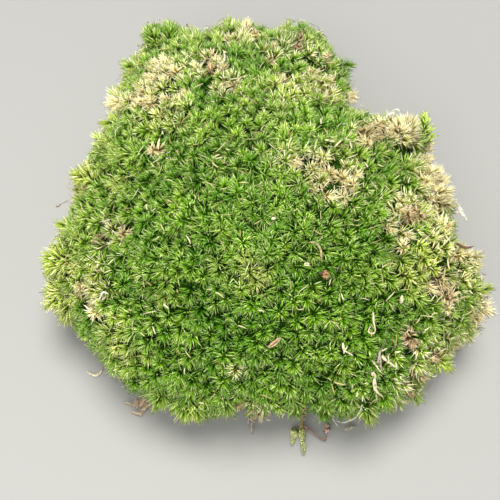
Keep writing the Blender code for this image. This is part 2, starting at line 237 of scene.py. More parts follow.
# Shoots that stand out at the rim, seen by themselves: what it is, its form, the pixel of its foot,
# where its tip points in the photograph (right, up), its size, then how far it is dry and pale.
STANDING = (
    ("first fan at the top left", "fan", (153, 38), (-0.5, 1.0), 1.4, 0, 0.5),
    ("second fan at the top left", "fan", (170, 36), (0.1, 1.0), 1.45, 0, 0.3),
    ("fan at the top", "fan", (231, 28), (-0.2, 1.0), 1.0, 0, 0.7),
    ("pale fan at the top", "fan", (246, 30), (0.1, 1.0), 1.0, 1, 0.9),
    ("fan at the top right", "fan", (287, 33), (0.2, 1.0), 1.1, 0, 0.5),
    ("fan at the upper left rim", "fan", (132, 68), (-1.0, 0.5), 1.15, 0, 0.5),
    ("white star at the upper left", "fan", (118, 104), (-1.0, 0.1), 1.3, 1, 1.0),
    ("pale fan above the white star", "fan", (117, 98), (-0.6, 1.0), 1.25, 0, 1.0),
    ("fan under the white star", "fan", (113, 124), (-1.0, 0.0), 1.2, 0, 0.8),
    ("fan at the left shoulder", "fan", (102, 143), (-0.7, 1.0), 1.1, 0, 0.6),
    ("pale fan on the left", "fan", (84, 177), (-1.0, 0.2), 1.25, 0, 0.9),
    ("fan over the left lobe", "fan", (66, 226), (-1.0, 0.4), 1.1, 0, 0.7),
    ("upper tuft of the left lobe", "fan", (57, 258), (-1.0, 0.1), 1.3, 0, 0.7),
    ("upper tuft's lower fan", "fan", (58, 266), (-1.0, -0.4), 1.2, 0, 0.7),
    ("lower tuft of the left lobe", "fan", (57, 292), (-1.0, 0.0), 1.2, 0, 0.8),
    ("lower tuft's corner", "fan", (56, 300), (-1.0, -0.7), 1.25, 0, 0.8),
    ("hanging tip of the left lobe", "fan", (68, 310), (-0.2, -1.0), 1.35, 0, 0.9),
    ("spur beside the notch", "fan", (348, 66), (1.0, 0.3), 1.0, 0, 0.3),
    ("cream star beside the notch", "fan", (347, 98), (1.0, 0.2), 1.1, 1, 0.9),
    ("fir shoot of the right lobe", "fir", (424, 141), (-0.05, 1.0), 1.3, 0, 0.65),
    ("cream spikes of the right lobe", "fan", (410, 128), (0.35, 1.0), 1.1, 1, 1.0),
    ("cream fan of the right lobe", "fan", (398, 129), (-0.1, 1.0), 1.0, 1, 1.0),
    ("cream fan under the fir shoot", "fan", (426, 148), (1.0, 0.8), 0.9, 1, 1.0),
    ("cream fan of the right rim", "fan", (431, 160), (1.0, 0.6), 0.95, 1, 1.0),
    ("second cream fan of the right rim", "fan", (435, 171), (1.0, 0.5), 0.95, 1, 1.0),
    ("cream fan of the right flank", "fan", (439, 182), (1.0, 0.4), 1.0, 1, 1.0),
    ("second cream fan of the right flank", "fan", (442, 193), (1.0, 0.2), 1.0, 1, 1.0),
    ("lower cream fan of the right flank", "fan", (445, 204), (1.0, -0.1), 1.0, 1, 1.0),
    ("pale fan of the right shoulder", "fan", (470, 258), (1.0, 0.3), 1.1, 1, 0.9),
    ("yellow fan of the right corner", "fan", (481, 290), (1.0, 0.2), 1.1, 0, 0.9),
    ("tan fan of the right corner", "fan", (484, 308), (1.0, -0.3), 1.15, 1, 0.6),
    ("fan at the lower right", "fan", (446, 366), (1.0, -0.5), 1.1, 0, 0.7),
    ("fan at the right foot", "fan", (414, 392), (0.5, -1.0), 1.1, 0, 0.5),
    ("yellow fan at the right foot", "fan", (368, 412), (0.2, -1.0), 1.1, 0, 0.8),
    ("fan at the front left foot", "fan", (160, 398), (-0.4, -1.0), 1.15, 0, 0.4),
    ("first star at the front foot", "fan", (186, 408), (0.0, -1.0), 1.3, 0, 0.4),
    ("second star at the front foot", "fan", (196, 409), (0.2, -1.0), 1.1, 0, 0.5),
    ("third star at the front foot", "fan", (226, 404), (0.1, -1.0), 1.1, 0, 0.3),
)
STANDING_FORMS = {
    "fan": (84, 4.0, 56, 6, 5, 6.4, 4.8, 0.12, 0.46),
    "fir": (230, 8.5, 64, 18, 6, 5.4, 2.2, 0.12, 0.46),
}
STAND_OUT = {"fan": 2.4 * MM, "fir": 8.0 * MM}  # how far a form's middle is in front of the carrier
TOWARDS_CAMERA = 0.25  # how far it leans towards the camera
SWELL = -0.1 * MM  # how far the carrier stands out of the tufts' middle all over
LUMPS = ((60, 1.7 * MM), (125, 0.9 * MM))  # lumps at random: how many to a metre, and their rise
PATCHES = 55  # how many times a metre the moss turns paler or greener by itself
CARRIER_VOXEL = 2.4 * MM  # how fine the carrier is
CARRIER_ROUNDS = 6  # how often it is smoothed
JOIN_WITHIN = 0.001 * MM  # corners of a solid that lie nearer than this are one

# Heights over the ground, and places along Y from the middle to the front.
UNDERSIDE = 3 * MM  # no shoots grow below it
FOOT_TOP = 11 * MM  # old growth shows below it
BITS_ABOVE = 13 * MM  # dead bits lie above it
FRONT_FOOT_TOP = 26 * MM  # the shoots of the front foot are thinner and larger below it
FRONT_FOOT_FADE = 16 * MM  # how far below that they are so in full
FRONT_FOOT_START = -30 * MM  # where the front foot starts
FRONT_FOOT_DEPTH = 30 * MM  # how far in front of that it is reached in full
STRETCHED_BELOW = 9  # mm, below which the thatch is stretched down to the ground
CUT_BELOW = 1.2 * MM  # the thatch is cut flat below it
THATCH_RUFFLES = 420  # how many times a metre the thatch is ruffled

WISP_FORMS = 10
WISP_LEAVES = 14
BIT_FORMS = 24
LITTER_RUFFLES = 1500  # how many times a metre a piece of litter is ruffled
DRIED_CRUMPLE = 0.12  # mm
LITTER_DRAWS = 41  # fixes the withered scrap's fibres
SPRIG_DRAWS = 3  # fixes the sprig's leaves


# ---- The sidebar's settings ----

def length(name, description, millimetres):
    """A length that the user can change."""
    return FloatProperty(
        name=name, description=description, default=millimetres * MM, subtype="DISTANCE", unit="LENGTH"
    )


def colour(name, description, red, green, blue):
    """A colour that the user can change, linear."""
    return FloatVectorProperty(
        name=name, description=description, default=(red, green, blue), subtype="COLOR", min=0, max=1
    )


def share(name, description, default):
    """A share from 0 to 1 that the user can change."""
    return FloatProperty(
        name=name, description=description, default=default, min=0, max=1, subtype="FACTOR"
    )


def factor(name, description, default):
    """A plain number that the user can change."""
    return FloatProperty(name=name, description=description, default=default, min=0)


def draws(default):
    """The number that fixes a piece's random draws."""
    return IntProperty(name="Seed", description="Fixes the random draws", default=default, min=0)


class ShootSettings(bpy.types.PropertyGroup):
    """The leafy shoots of the cushion."""

    spacing: length("Spacing", "Usual distance between two shoots", 4.5)
    depth: length("Depth", "How much lower than the highest the lowest shoots stand", 1.5)
    lean: factor("Lean", "How far a shoot leans at random out of the surface's direction", 0.5)
    drift: factor("Drift", "How far neighbouring shoots lean the same way", 1.2)
    splay: factor("Splay", "How far the outer shoots turn away from the clump's middle", 2.2)
    comb: factor("Comb", "How far all the shoots on top lean to the front", 0.7)
    unevenness: share("Unevenness", "How far the shoots' sizes differ", 0.18)
    # Part of the deep green at the stem is painted shade, where the leaves crowd round it.
    deep: colour("Deep green", "Leaf colour at the stem", 0.014, 0.110, 0.001)
    middle: colour("Middle green", "Leaf colour halfway", 0.062, 0.215, 0.005)
    light: colour("Light green", "Leaf colour near the tip", 0.171, 0.355, 0.037)
    # The pale tip is partly a painted highlight.
    tip: colour("Tip", "Leaf colour at the very tip", 0.51, 0.65, 0.235)
    # The young leaves' bright green is partly painted light, standing for the light that comes through them
    # at a shoot's middle.
    young_and_lit: colour("Young leaves", "Colour of the leaves in the middle of a shoot", 0.135, 0.32, 0.008)
    seed: draws(7)


class ThatchSettings(bpy.types.PropertyGroup):
    """The old growth under the shoots, and the stems round the cut foot."""

    depth: length("Depth", "How far the thatch lies under the shoots' middles", 4.4)
    # The inner green is painted shade between the shoots.
    shadow: colour("Inner green", "Colour deep between the shoots", 0.014, 0.050, 0.001)
    brown: colour("Old growth", "Colour of the dead stems below", 0.11, 0.062, 0.028)
    fibre_spacing: length("Fibre spacing", "Least distance between two wisps of old stems", 4.0)
    fibre_top: length("Fibre top", "Height over the ground up to which old stems show", 14)
    seed: draws(19)


class BitSettings(bpy.types.PropertyGroup):
    """Single dead leaves and straws that lie all over the moss."""

    spacing: length("Spacing", "Usual distance between two bits where they lie thickest", 4.8)
    lift: length("Lift", "How far over the shoots' middles the highest lie", 2.9)
    tilt: factor("Tilt", "How far a bit leans out of the surface", 0.4)
    pale: colour("Pale", "The palest bits", 0.90, 0.84, 0.60)
    straw: colour("Straw", "Usual bits", 0.78, 0.70, 0.34)
    tan: colour("Tan", "Darker bits", 0.52, 0.42, 0.16)
    brown: colour("Brown", "The darkest bits", 0.24, 0.16, 0.055)
    seed: draws(31)


class LitterSettings(bpy.types.PropertyGroup):
    """Straws, scales and seeds in and beside the moss."""

    cream: colour("Cream", "Bleached straw", 0.80, 0.70, 0.46)
    tan: colour("Tan", "Dry stems", 0.46, 0.37, 0.19)
    brown: colour("Brown", "Old stems", 0.17, 0.09, 0.045)
    bark: colour("Bark", "The twig", 0.30, 0.18, 0.15)
    rust: colour("Rust", "Leaf fragment", 0.50, 0.25, 0.12)
    husk: colour("Husk", "Boat-shaped scale", 0.54, 0.37, 0.20)
    stalk: colour("Stalk", "Thin brown stalks", 0.44, 0.36, 0.31)
    scrap: colour("Scrap", "Withered scrap on the left", 0.56, 0.43, 0.28)
    pink_tan: colour("Pink tan", "Bud scale", 0.62, 0.43, 0.33)
    grey: colour("Grey", "Weathered straw", 0.55, 0.51, 0.42)
    white: colour("White", "Bleached leaf", 0.88, 0.85, 0.74)
    sprig: colour("Sprig", "Leaves of the feather moss", 0.50, 0.58, 0.21)
    sprig_stem: colour("Sprig stem", "Its old scales", 0.34, 0.26, 0.11)


class StageSettings(bpy.types.PropertyGroup):
    """Floor, light and camera."""

    floor: colour("Floor", "Colour of the floor", 0.37, 0.37, 0.36)
    key: factor("Key light", "Strength of the light above", 3.85)
    fill: FloatProperty(name="Fill light", description="Power of the front light", default=3.2, unit="POWER")
    sky: factor("Sky", "Strength of the light all round", 0.27)


class MossClumpSettings(bpy.types.PropertyGroup):
    """All settings of the clump."""

    shoots: PointerProperty(type=ShootSettings, name="Shoots", description="The leafy shoots")
    thatch: PointerProperty(type=ThatchSettings, name="Thatch", description="The old growth")
    bits: PointerProperty(type=BitSettings, name="Bits", description="Dead leaves on the moss")
    litter: PointerProperty(type=LitterSettings, name="Litter", description="Straws and scales")
    stage: PointerProperty(type=StageSettings, name="Stage", description="Floor, light and camera")


# ---- Nodes, written as expressions ----

class Wire:
    """A node's output, which adds Math nodes when it is used in an expression."""

    def __init__(self, nodes, node, output):
        self.nodes = nodes
        self.node = node
        self.socket = node.outputs[output]

    def out(self, output):
        """Another output of the same node."""
        return Wire(self.nodes, self.node, output)

    def math(self, operation, *inputs):
        """A Math node on these values."""
        return self.nodes.add("ShaderNodeMath", {"operation": operation}, dict(enumerate(inputs)))

    def __add__(self, other):
        return self.math("ADD", self, other)

    def __sub__(self, other):
        return self.math("SUBTRACT", self, other)

    def __mul__(self, other):
        return self.math("MULTIPLY", self, other)

    def __truediv__(self, other):
        return self.math("DIVIDE", self, other)

    def __lt__(self, other):
        return self.math("LESS_THAN", self, other)

    def __gt__(self, other):
        return self.math("GREATER_THAN", self, other)

    def __rsub__(self, other):
        return self.math("SUBTRACT", other, self)

    def __rtruediv__(self, other):
        return self.math("DIVIDE", other, self)

    __radd__ = __add__
    __rmul__ = __mul__

    def power(self, exponent):
        """This value to a power."""
        return self.math("POWER", self, exponent)

    def clamped(self):
        """This value held between 0 and 1."""
        return self.math("MAXIMUM", self.math("MINIMUM", self, 1.0), 0.0)


class Nodes:
    """A node tree that is built by calls."""

    def __init__(self, tree):
        self.tree = tree
        self.shader = tree.nodes.get("Principled BSDF")

    def add(self, kind, settings=None, inputs=None, output=0):
        """A node with its settings, then the values or links of its sockets."""
        node = self.tree.nodes.new(kind)
        for name, value in (settings or {}).items():
            if name == "stops":
                self.set_stops(node.color_ramp, value)
            else:
                setattr(node, name, value)
        for key, value in (inputs or {}).items():
            self.plug(node.inputs[key], value)
        return Wire(self, node, output)

    def plug(self, socket, value):
        """Links an output to a socket, or sets the socket's own value."""
        if isinstance(value, Wire):
            self.tree.links.new(value.socket, socket)
        else:
            socket.default_value = value

    def paint(self, socket, value):
        """Links an output to a socket of a material's shader, or sets its value."""
        self.plug(self.shader.inputs[socket], value)

    def set_stops(self, ramp, stops):
        """Gives a colour ramp its stops."""
        while len(ramp.elements) > 1:
            ramp.elements.remove(ramp.elements[-1])
        for number, (place, tint) in enumerate(stops):
            element = ramp.elements[0] if number == 0 else ramp.elements.new(place)
            element.position = place
            element.color = (*tint, 1)

    def ramp(self, way, stops):
        """A colour that runs through stops."""
        return self.add("ShaderNodeValToRGB", {"stops": stops}, {"Fac": way})

    def mix(self, way, first, second):
        """A mix of two colours."""
        inputs = {0: way, 6: opaque(first), 7: opaque(second)}
        return self.add("ShaderNodeMix", {"data_type": "RGBA"}, inputs, 2)

    def attribute(self, name):
        """A mesh attribute, in a material."""
        return self.add("ShaderNodeAttribute", {"attribute_name": name}).out("Fac")

    def noise(self, scale, detail):
        """Noise in the object's own space, in a material."""
        place = self.add("ShaderNodeTexCoord").out("Object")
        return self.add("ShaderNodeTexNoise", {}, {"Vector": place, "Scale": scale, "Detail": detail})

    def part(self, vector, axis):
        """A vector's X, Y or Z."""
        return self.add("ShaderNodeSeparateXYZ", {}, {0: vector}, axis)

    def field(self, name):
        """A named attribute, in a geometry tree."""
        return self.add("GeometryNodeInputNamedAttribute", {"data_type": "FLOAT"}, {"Name": name})

    def store(self, geometry, name, value):
        """Keeps a value on each point, in a geometry tree."""
        settings = {"data_type": "FLOAT", "domain": "POINT"}
        inputs = {"Geometry": geometry, "Name": name, "Value": value}
        return self.add("GeometryNodeStoreNamedAttribute", settings, inputs)

    def random(self, low, high, draw):
        """A random number for each point, in a geometry tree."""
        inputs = {2: low, 3: high, 8: draw}
        return self.add("FunctionNodeRandomValue", {"data_type": "FLOAT"}, inputs, 1)

    def stray(self, draw):
        """A random direction for each point, in a geometry tree."""
        inputs = {0: (-1, -1, -1), 1: (1, 1, 1), 8: draw}
        return self.add("FunctionNodeRandomValue", {"data_type": "FLOAT_VECTOR"}, inputs)

    def vector(self, operation, first, second):
        """A Vector Math node on two vectors."""
        return self.add("ShaderNodeVectorMath", {"operation": operation}, {0: first, 1: second})

    def total(self, *vectors):
        """The sum of vectors."""
        return reduce(lambda first, second: self.vector("ADD", first, second), vectors)

    def scaled(self, vector, amount):
        """A vector times a number."""
        return self.add("ShaderNodeVectorMath", {"operation": "SCALE"}, {0: vector, 3: amount})

    def scattered(self, group, method, density):
        """Points at random over the geometry of a geometry tree."""
        inputs = {"Mesh": group.out("Geometry"), "Seed": group.out("Seed"), **density}
        return self.add("GeometryNodeDistributePointsOnFaces", {"distribute_method": method}, inputs)

    def without(self, points, unwanted):
        """Points less the unwanted ones, in a geometry tree."""
        inputs = {"Geometry": points, "Selection": unwanted}
        return self.add("GeometryNodeDeleteGeometry", {"domain": "POINT"}, inputs)

    def turned(self, heading, draw):
        """A rotation that brings Z to a heading, after a random turn about Z, in a geometry tree."""
        upright = self.add("FunctionNodeAlignRotationToVector", {"axis": "Z"}, {"Vector": heading})
        turn = {0: (0, 0, 1), 1: self.random(0.0, math.tau, draw)}
        spin = self.add("FunctionNodeAxisAngleToRotation", {}, turn)
        inputs = {"Rotation": upright, "Rotate By": spin}
        return self.add("FunctionNodeRotateRotation", {"rotation_space": "LOCAL"}, inputs)

    def picked(self, points, chosen, collection, last, rotation, size, draw):
        """One of a collection's shapes on each chosen point, picked at random, in a geometry tree."""
        inputs = {"Collection": collection, "Separate Children": True, "Reset Children": True}
        shapes = self.add("GeometryNodeCollectionInfo", {"transform_space": "ORIGINAL"}, inputs)
        pick = self.add("FunctionNodeRandomValue", {"data_type": "INT"}, {4: 0, 5: last, 8: draw}, 2)
        inputs = {
            "Points": points, "Selection": chosen, "Instance": shapes, "Pick Instance": True,
            "Instance Index": pick, "Rotation": rotation, "Scale": size,
        }
        return self.add("GeometryNodeInstanceOnPoints", {}, inputs)


def opaque(tint):
    """A colour with its alpha, or a link as it is."""
    return tint if isinstance(tint, Wire) else (*tint[:3], 1)


def new_material(name, roughness, specular=0.5):
    """A material's nodes and the material itself."""
    made = bpy.data.materials.new(name)
    made.use_nodes = True
    nodes = Nodes(made.node_tree)
    nodes.paint("Roughness", roughness)
    nodes.paint("Specular IOR Level", specular)
    return nodes, made


def add_bump(nodes, height, distance, strength):
    """Fine relief."""
    inputs = {"Strength": strength, "Distance": distance, "Height": height}
    nodes.paint("Normal", nodes.add("ShaderNodeBump", {}, inputs))


def let_light_through(nodes):
    """Lets light a little way through thin leaves."""
    nodes.shader.subsurface_method = "BURLEY"
    nodes.paint("Subsurface Weight", 0.6)
    nodes.paint("Subsurface Radius", (1.0, 1.0, 0.5))
    nodes.paint("Subsurface Scale", 0.8 * MM)


def times(tint, amount, more=0.0, most=1.0):
    """A colour times an amount, raised by some more and held below the most."""
    return tuple(min(part * amount + more, most) for part in tint)


# ---- Materials ----

# Colours of leaves that are not green, as stops from the stem to the tip.
YELLOWED = (
    (0.0, (0.10, 0.18, 0.014)), (0.45, (0.29, 0.41, 0.055)),
    (0.80, (0.52, 0.60, 0.14)), (1.0, (0.78, 0.80, 0.35)),
)
STRAW = (
    (0.0, (0.38, 0.31, 0.11)), (0.35, (0.68, 0.58, 0.26)),
    (0.75, (0.88, 0.80, 0.45)), (1.0, (0.95, 0.91, 0.62)),
)
RUST = ((0.0, (0.10, 0.06, 0.03)), (0.5, (0.27, 0.18, 0.10)), (1.0, (0.56, 0.44, 0.27)))
BLOTCHED = ("rust", "pink_tan")  # litter tints with dark spots


def leaf_material(settings):
    """Moss leaves: deep green at the stem, pale at the tip, straw or brown where a shoot is dead. The
    darkness at the stem and on the lower leaves is partly painted shade, the pale tips of the upper leaves
    are partly a painted highlight, and the bright young leaves are partly painted light.
    """
    nodes, made = new_material("moss_leaf", 0.48, 0.06)
    along = nodes.attribute("along")
    youth = nodes.attribute("youth")
    tone = nodes.attribute("leaf_tone")
    reach = (along + (tone - 0.5) * 0.5).clamped()
    # Only the upper leaves get the pale tip, partly a painted highlight; the lower ones keep a darker tip,
    # which is painted shade.
    fine = nodes.mix((youth * 2.2 + 0.1).clamped(), settings.light, settings.tip)
    # The lower, older leaves run from deep green at the stem, partly their own colour and partly painted
    # shade.
    old_and_shaded = nodes.ramp(reach, (
        (0.05, settings.deep), (0.45, settings.middle), (0.78, settings.light), (1.0, settings.light),
    ))
    old_and_shaded = nodes.mix(((reach - 0.78) * 4.5).clamped(), old_and_shaded, fine)
    # The young leaves at the top are bright from the stem on, partly painted light.
    young_and_lit = nodes.ramp(reach, (
        (0.0, settings.young_and_lit), (0.45, settings.young_and_lit), (0.8, settings.light), (1.0, settings.tip),
    ))
    fresh = nodes.mix(youth, old_and_shaded, young_and_lit)
    pale = nodes.attribute("shoot_pale")
    straw = nodes.ramp(reach, STRAW)
    living = nodes.mix(pale, fresh, nodes.ramp(reach, YELLOWED))
    wilted = nodes.attribute("shoot_dry")
    withered = ((tone - 0.98 + pale * 0.08 + wilted * 0.7) * 12.0).clamped()
    dead = nodes.mix(nodes.attribute("shoot_brown"), straw, nodes.ramp(reach, RUST))
    tint = nodes.mix(nodes.attribute("shoot_dead"), nodes.mix(withered, living, straw), dead)
    # A shoot's tone shifts its hue and brightness; where it is lowered at the front foot it is painted
    # shade.
    shade = nodes.attribute("shoot_tone")
    inputs = {"Color": tint, "Hue": 0.5 + (0.5 - shade) * 0.022, "Value": shade * 0.5 + 0.75}
    nodes.paint("Base Color", nodes.add("ShaderNodeHueSaturation", {}, inputs))
    nodes.paint("Roughness", 0.46 - along * 0.12)
    let_light_through(nodes)
    return made


def thatch_material(settings):
    """Old growth: a near black green between the shoots, which is painted shade, brown and fibrous towards
    the cut.
    """
    nodes, made = new_material("moss_thatch", 0.92, 0.12)
    place = nodes.add("ShaderNodeTexCoord").out("Object")
    height = nodes.part(place, "Z")
    strands = nodes.noise(900.0, 4.0)
    patches = nodes.noise(160.0, 3.0)
    low = (1.0 - height / (14 * MM) + (patches - 0.5) * 1.0).clamped()
    # Darker and lighter streaks of green, painted as leaves deep in shade.
    leaves = nodes.mix(((strands - 0.5) * 5.0).clamped(), settings.shadow, (0.06, 0.20, 0.012))
    tint = nodes.mix(low, leaves, settings.brown)
    speckled = nodes.mix((strands - 0.5).clamped() * low * 3.0, tint, (0.30, 0.20, 0.10))
    ends = nodes.add("ShaderNodeTexVoronoi", {}, {"Vector": place, "Scale": 620.0}, "Distance")
    under = (1.0 - height / (0.6 * MM)).clamped()
    stems = nodes.mix((0.42 - ends) * 4.0, speckled, (0.42, 0.27, 0.13))
    nodes.paint("Base Color", nodes.mix(under, speckled, stems))
    add_bump(nodes, strands * 0.6 - ends * 0.4, 0.8 * MM, 0.7)
    return made


def bit_material(settings):
    """Dead leaves and straws: each of one colour between bleached and brown, darker at its ends."""
    nodes, made = new_material("dead_bits", 0.62, 0.25)
    along = nodes.attribute("along")
    body = nodes.ramp(nodes.attribute("bit_tone"), (
        (0.0, settings.pale), (0.42, settings.straw), (0.74, settings.tan), (1.0, settings.brown),
    ))
    darker = nodes.mix(0.5, body, settings.brown)
    ends = (along * 2.0 - 1.0).power(4.0).clamped()
    streak = nodes.noise(1300.0, 2.0)
    nodes.paint("Base Color", nodes.mix(ends * 0.6 + (0.5 - streak) * 0.8, body, darker))
    return made


def fibre_material(settings):
    """Old stems and leaves at the foot: dark brown below, tan at their ends."""
    nodes, made = new_material("old_stems", 0.8, 0.15)
    reach = (nodes.attribute("along") + (nodes.attribute("leaf_tone") - 0.5) * 0.8).clamped()
    tint = nodes.ramp(reach, (
        (0.0, times(settings.brown, 0.35)), (0.35, settings.brown),
        (0.75, (0.34, 0.22, 0.10)), (1.0, (0.62, 0.46, 0.24)),
    ))
    nodes.paint("Base Color", tint)
    return made


def dry_material(name, tint, blotched):
    """Dry plant matter: paler and darker streaks, specks and a faint grain, with painted shade inside a
    hollowed upper side.
    """
    nodes, made = new_material(name, 0.72)
    streak = nodes.noise(1100.0, 4.0)
    speck = nodes.noise(2600.0, 2.0)
    darker = times(tint, 0.42)
    paler = times(tint, 1.25, 0.03, 0.95)
    body = nodes.ramp(streak, ((0.30, darker), (0.50, tuple(tint)), (0.72, paler)))
    ends = (nodes.attribute("along") * 2.0 - 1.0).power(6.0).clamped()
    worn_and_hollow_shade = nodes.mix(ends * 0.5, body, darker)
    # Inside a hollow the colour falls to near black, which is painted shade.
    worn_and_hollow_shade = nodes.mix(nodes.attribute("hollow"), worn_and_hollow_shade, times(tint, 0.06))
    blots = (speck - 0.62) * 3.0
    if blotched:
        blots = (nodes.noise(1000.0, 1.0) - 0.50) * 7.0
    nodes.paint("Base Color", nodes.mix(blots.clamped(), worn_and_hollow_shade, times(tint, 0.2)))
    nodes.paint("Roughness", 0.62 + streak * 0.3)
    add_bump(nodes, streak + speck * 0.5, 0.25 * MM, 0.6)
    return made


def sprig_material(name, tint):
    """Feather moss: scale leaves with paler ends, dark at their bases, which is partly painted shade where
    they overlap.
    """
    nodes, made = new_material(name, 0.5)
    along = (nodes.attribute("along") + (nodes.attribute("leaf_tone") - 0.5) * 0.5).clamped()
    pale = times(tint, 1.9, 0.08, 0.9)
    # Dark at the base, partly painted shade between overlapping leaves.
    body = nodes.ramp(along, ((0.0, times(tint, 0.3)), (0.45, tuple(tint)), (1.0, pale)))
    nodes.paint("Base Color", body)
    nodes.paint("Roughness", 0.6 - along * 0.15)
    let_light_through(nodes)
    return made


def floor_material(tint):
    """A plain matt floor."""
    nodes, made = new_material("stage_floor", 0.85)
    grain = nodes.noise(3.0, 2.0)
    nodes.paint("Base Color", nodes.mix(grain * 0.06, tuple(tint), (0.5, 0.5, 0.5)))
    return made


# ---- Places ----

def camera_axes():
    """The camera's directions: right, forward and up."""
    forward = Vector((0, math.cos(CAMERA_ELEVATION), -math.sin(CAMERA_ELEVATION)))
    up = Vector((0, math.sin(CAMERA_ELEVATION), math.cos(CAMERA_ELEVATION)))
    return Vector((1, 0, 0)), forward, up


def sight(pixel):
    """Where the camera stands, and the line of sight through a pixel of the photograph."""
    right, forward, up = camera_axes()
    focal = PHOTO_SIDE * LENS / SENSOR
    half = PHOTO_SIDE / 2
    slant = forward + right * ((pixel[0] - half) / focal) + up * ((half - pixel[1]) / focal)
    return CAMERA_AIM - forward * CAMERA_DISTANCE, slant.normalized()


def spot_at(tree, pixel):
    """The point of a surface at a pixel, or the one nearest to its line of sight."""
    start, line = sight(pixel)
    point = tree.ray_cast(start, line)[0]
    if point is not None:
        return point
    steps = [start + line * (CAMERA_DISTANCE * (0.6 + 0.01 * i)) for i in range(80)]
    return min((tree.find_nearest(step) for step in steps), key=lambda found: found[3])[0]


def at_height(column, row, height):
    """The point at a height in mm on the line of sight through a pixel."""
    start, line = sight((column, row))
    return start + line * ((height * MM - start.z) / line.z)


# ---- Meshes ----

def add_object(name, mesh):
    """An object of a mesh, at the origin."""
    made = bpy.data.objects.new(name, mesh)
    bpy.context.scene.collection.objects.link(made)
    return made


def discard(*objects):
    """Removes helper objects with their meshes."""
    for helper in objects:
        mesh = helper.data
        bpy.data.objects.remove(helper, do_unlink=True)
        bpy.data.meshes.remove(mesh)


def evaluated(helper, name):
    """The mesh that a helper object's modifiers give. The helper is removed."""
    graph = bpy.context.evaluated_depsgraph_get()
    shaped = helper.evaluated_get(graph)
    mesh = bpy.data.meshes.new_from_object(shaped, preserve_all_data_layers=True, depsgraph=graph)
    mesh.name = name
    discard(helper)
    return mesh


def edit(mesh, change):
    """Changes a mesh by a function of its bmesh."""
    work = bmesh.new()
    work.from_mesh(mesh)
    change(work)
    work.to_mesh(mesh)
    work.free()


def merged_copy(node):
    """A helper object: a CAD node's solid, with its loose triangles joined."""
    mesh = frame["nodes"][node].data.copy()
    mesh.materials.clear()
    edit(mesh, lambda work: bmesh.ops.remove_doubles(work, verts=work.verts, dist=JOIN_WITHIN))
    return add_object(f"{node}_copy", mesh)


def coordinates(mesh, quality="co"):
    """A mesh's corners as rows of an array, or their normals."""
    flat = np.empty(len(mesh.vertices) * 3, np.float32)
    mesh.vertices.foreach_get(quality, flat)
    return flat.reshape(-1, 3)


def set_coordinates(mesh, rows):
    """Moves a mesh's corners."""
    mesh.vertices.foreach_set("co", np.ascontiguousarray(rows, np.float32).ravel())
    mesh.update()


def set_attribute(mesh, name, values):
    """Keeps one number on each corner."""
    layer = mesh.attributes.get(name) or mesh.attributes.new(name, "FLOAT", "POINT")
    layer.data.foreach_set("value", np.ascontiguousarray(values, np.float32))


def normals_of(mesh):
    """A mesh's normals at its corners, as rows."""
    return coordinates(mesh, "normal")


def wander(rows, per_metre):
    """Smooth noise between about -1 and 1 at each row."""
    return np.array([noise.noise(Vector(row) * per_metre) for row in rows])


def inner_form(name):
    """The cushion's mean surface, halfway into its tufts, with its hummocks."""
    helper = merged_copy(CUSHION)
    remesh = helper.modifiers.new("Remesh", "REMESH")
    remesh.mode = "VOXEL"
    remesh.voxel_size = CARRIER_VOXEL
    smooth = helper.modifiers.new("Smooth", "SMOOTH")
    smooth.factor = 0.5
    smooth.iterations = CARRIER_ROUNDS
    mesh = evaluated(helper, name)
    raise_hummocks(mesh)
    return mesh


Pattern = namedtuple("Pattern", "faces along spots")


def leaf_pattern():
    """A leaf's triangles as corner numbers, how far along its corners are, and its place on a map."""
    faces = ((0, 2, 1), (3, 1, 2), (3, 2, 4), (0, 1, 3), (0, 3, 4), (0, 4, 2))
    along = (0, LEAF_BELLY, LEAF_BELLY, 1, 1)
    across = (0.5, 0.0, 1.0, (1 - LEAF_TIP) / 2, (1 + LEAF_TIP) / 2)
    spots = []
    for face in faces:
        upper = face in faces[:3]
        for corner in face:
            spots.append((0.5 + across[corner] / 2 if upper else 0.5 - across[corner] / 2, along[corner]))
    return Pattern(faces, along, spots)


def strand_pattern():
    """The same for a strand: faces round one end, along its three sides and round its other end."""
    tip = 1 + 3 * len(STRAND_RINGS)
    faces = [(0, 1 + (k + 1) % 3, 1 + k) for k in range(3)]
    for first in range(1, tip - 3, 3):
        for k in range(3):
            after = (k + 1) % 3
            faces.append((first + k, first + after, first + 3 + after))
            faces.append((first + k, first + 3 + after, first + 3 + k))
    faces += [(tip - 3 + k, tip - 3 + (k + 1) % 3, tip) for k in range(3)]
    along = (0, *(place for place, _ in STRAND_RINGS for _ in range(3)), 1)
    spots = []
    for face in faces:
        sides = {(corner - 1) % 3 for corner in face if 0 < corner < tip}
        side = next(k for k in range(3) if sides == {k, (k + 1) % 3})
        for corner in face:
            if corner in (0, tip):
                spots.append(((side + 0.5) / 3, along[corner]))
            else:
                spots.append(((side + ((corner - 1) % 3 != side)) / 3, along[corner]))
    return Pattern(faces, along, spots)


LEAF = leaf_pattern()
STRAND = strand_pattern()


def add_leaf(corners, base, ahead, back, reach, width, arch):
    """Adds a leaf's corners. It leaves base in the direction ahead and arches towards back."""
    bow = math.copysign(1.0, arch)
    side = ahead.cross(back) * (bow * width / 2)
    belly = base + ahead * (reach * LEAF_BELLY)
    belly += back * (reach * arch * LEAF_BELLY**2 - bow * width * 0.3)
    tip = base + (ahead + back * arch) * reach
    corners += [base, belly + side, belly - side, tip + side * LEAF_TIP, tip - side * LEAF_TIP]


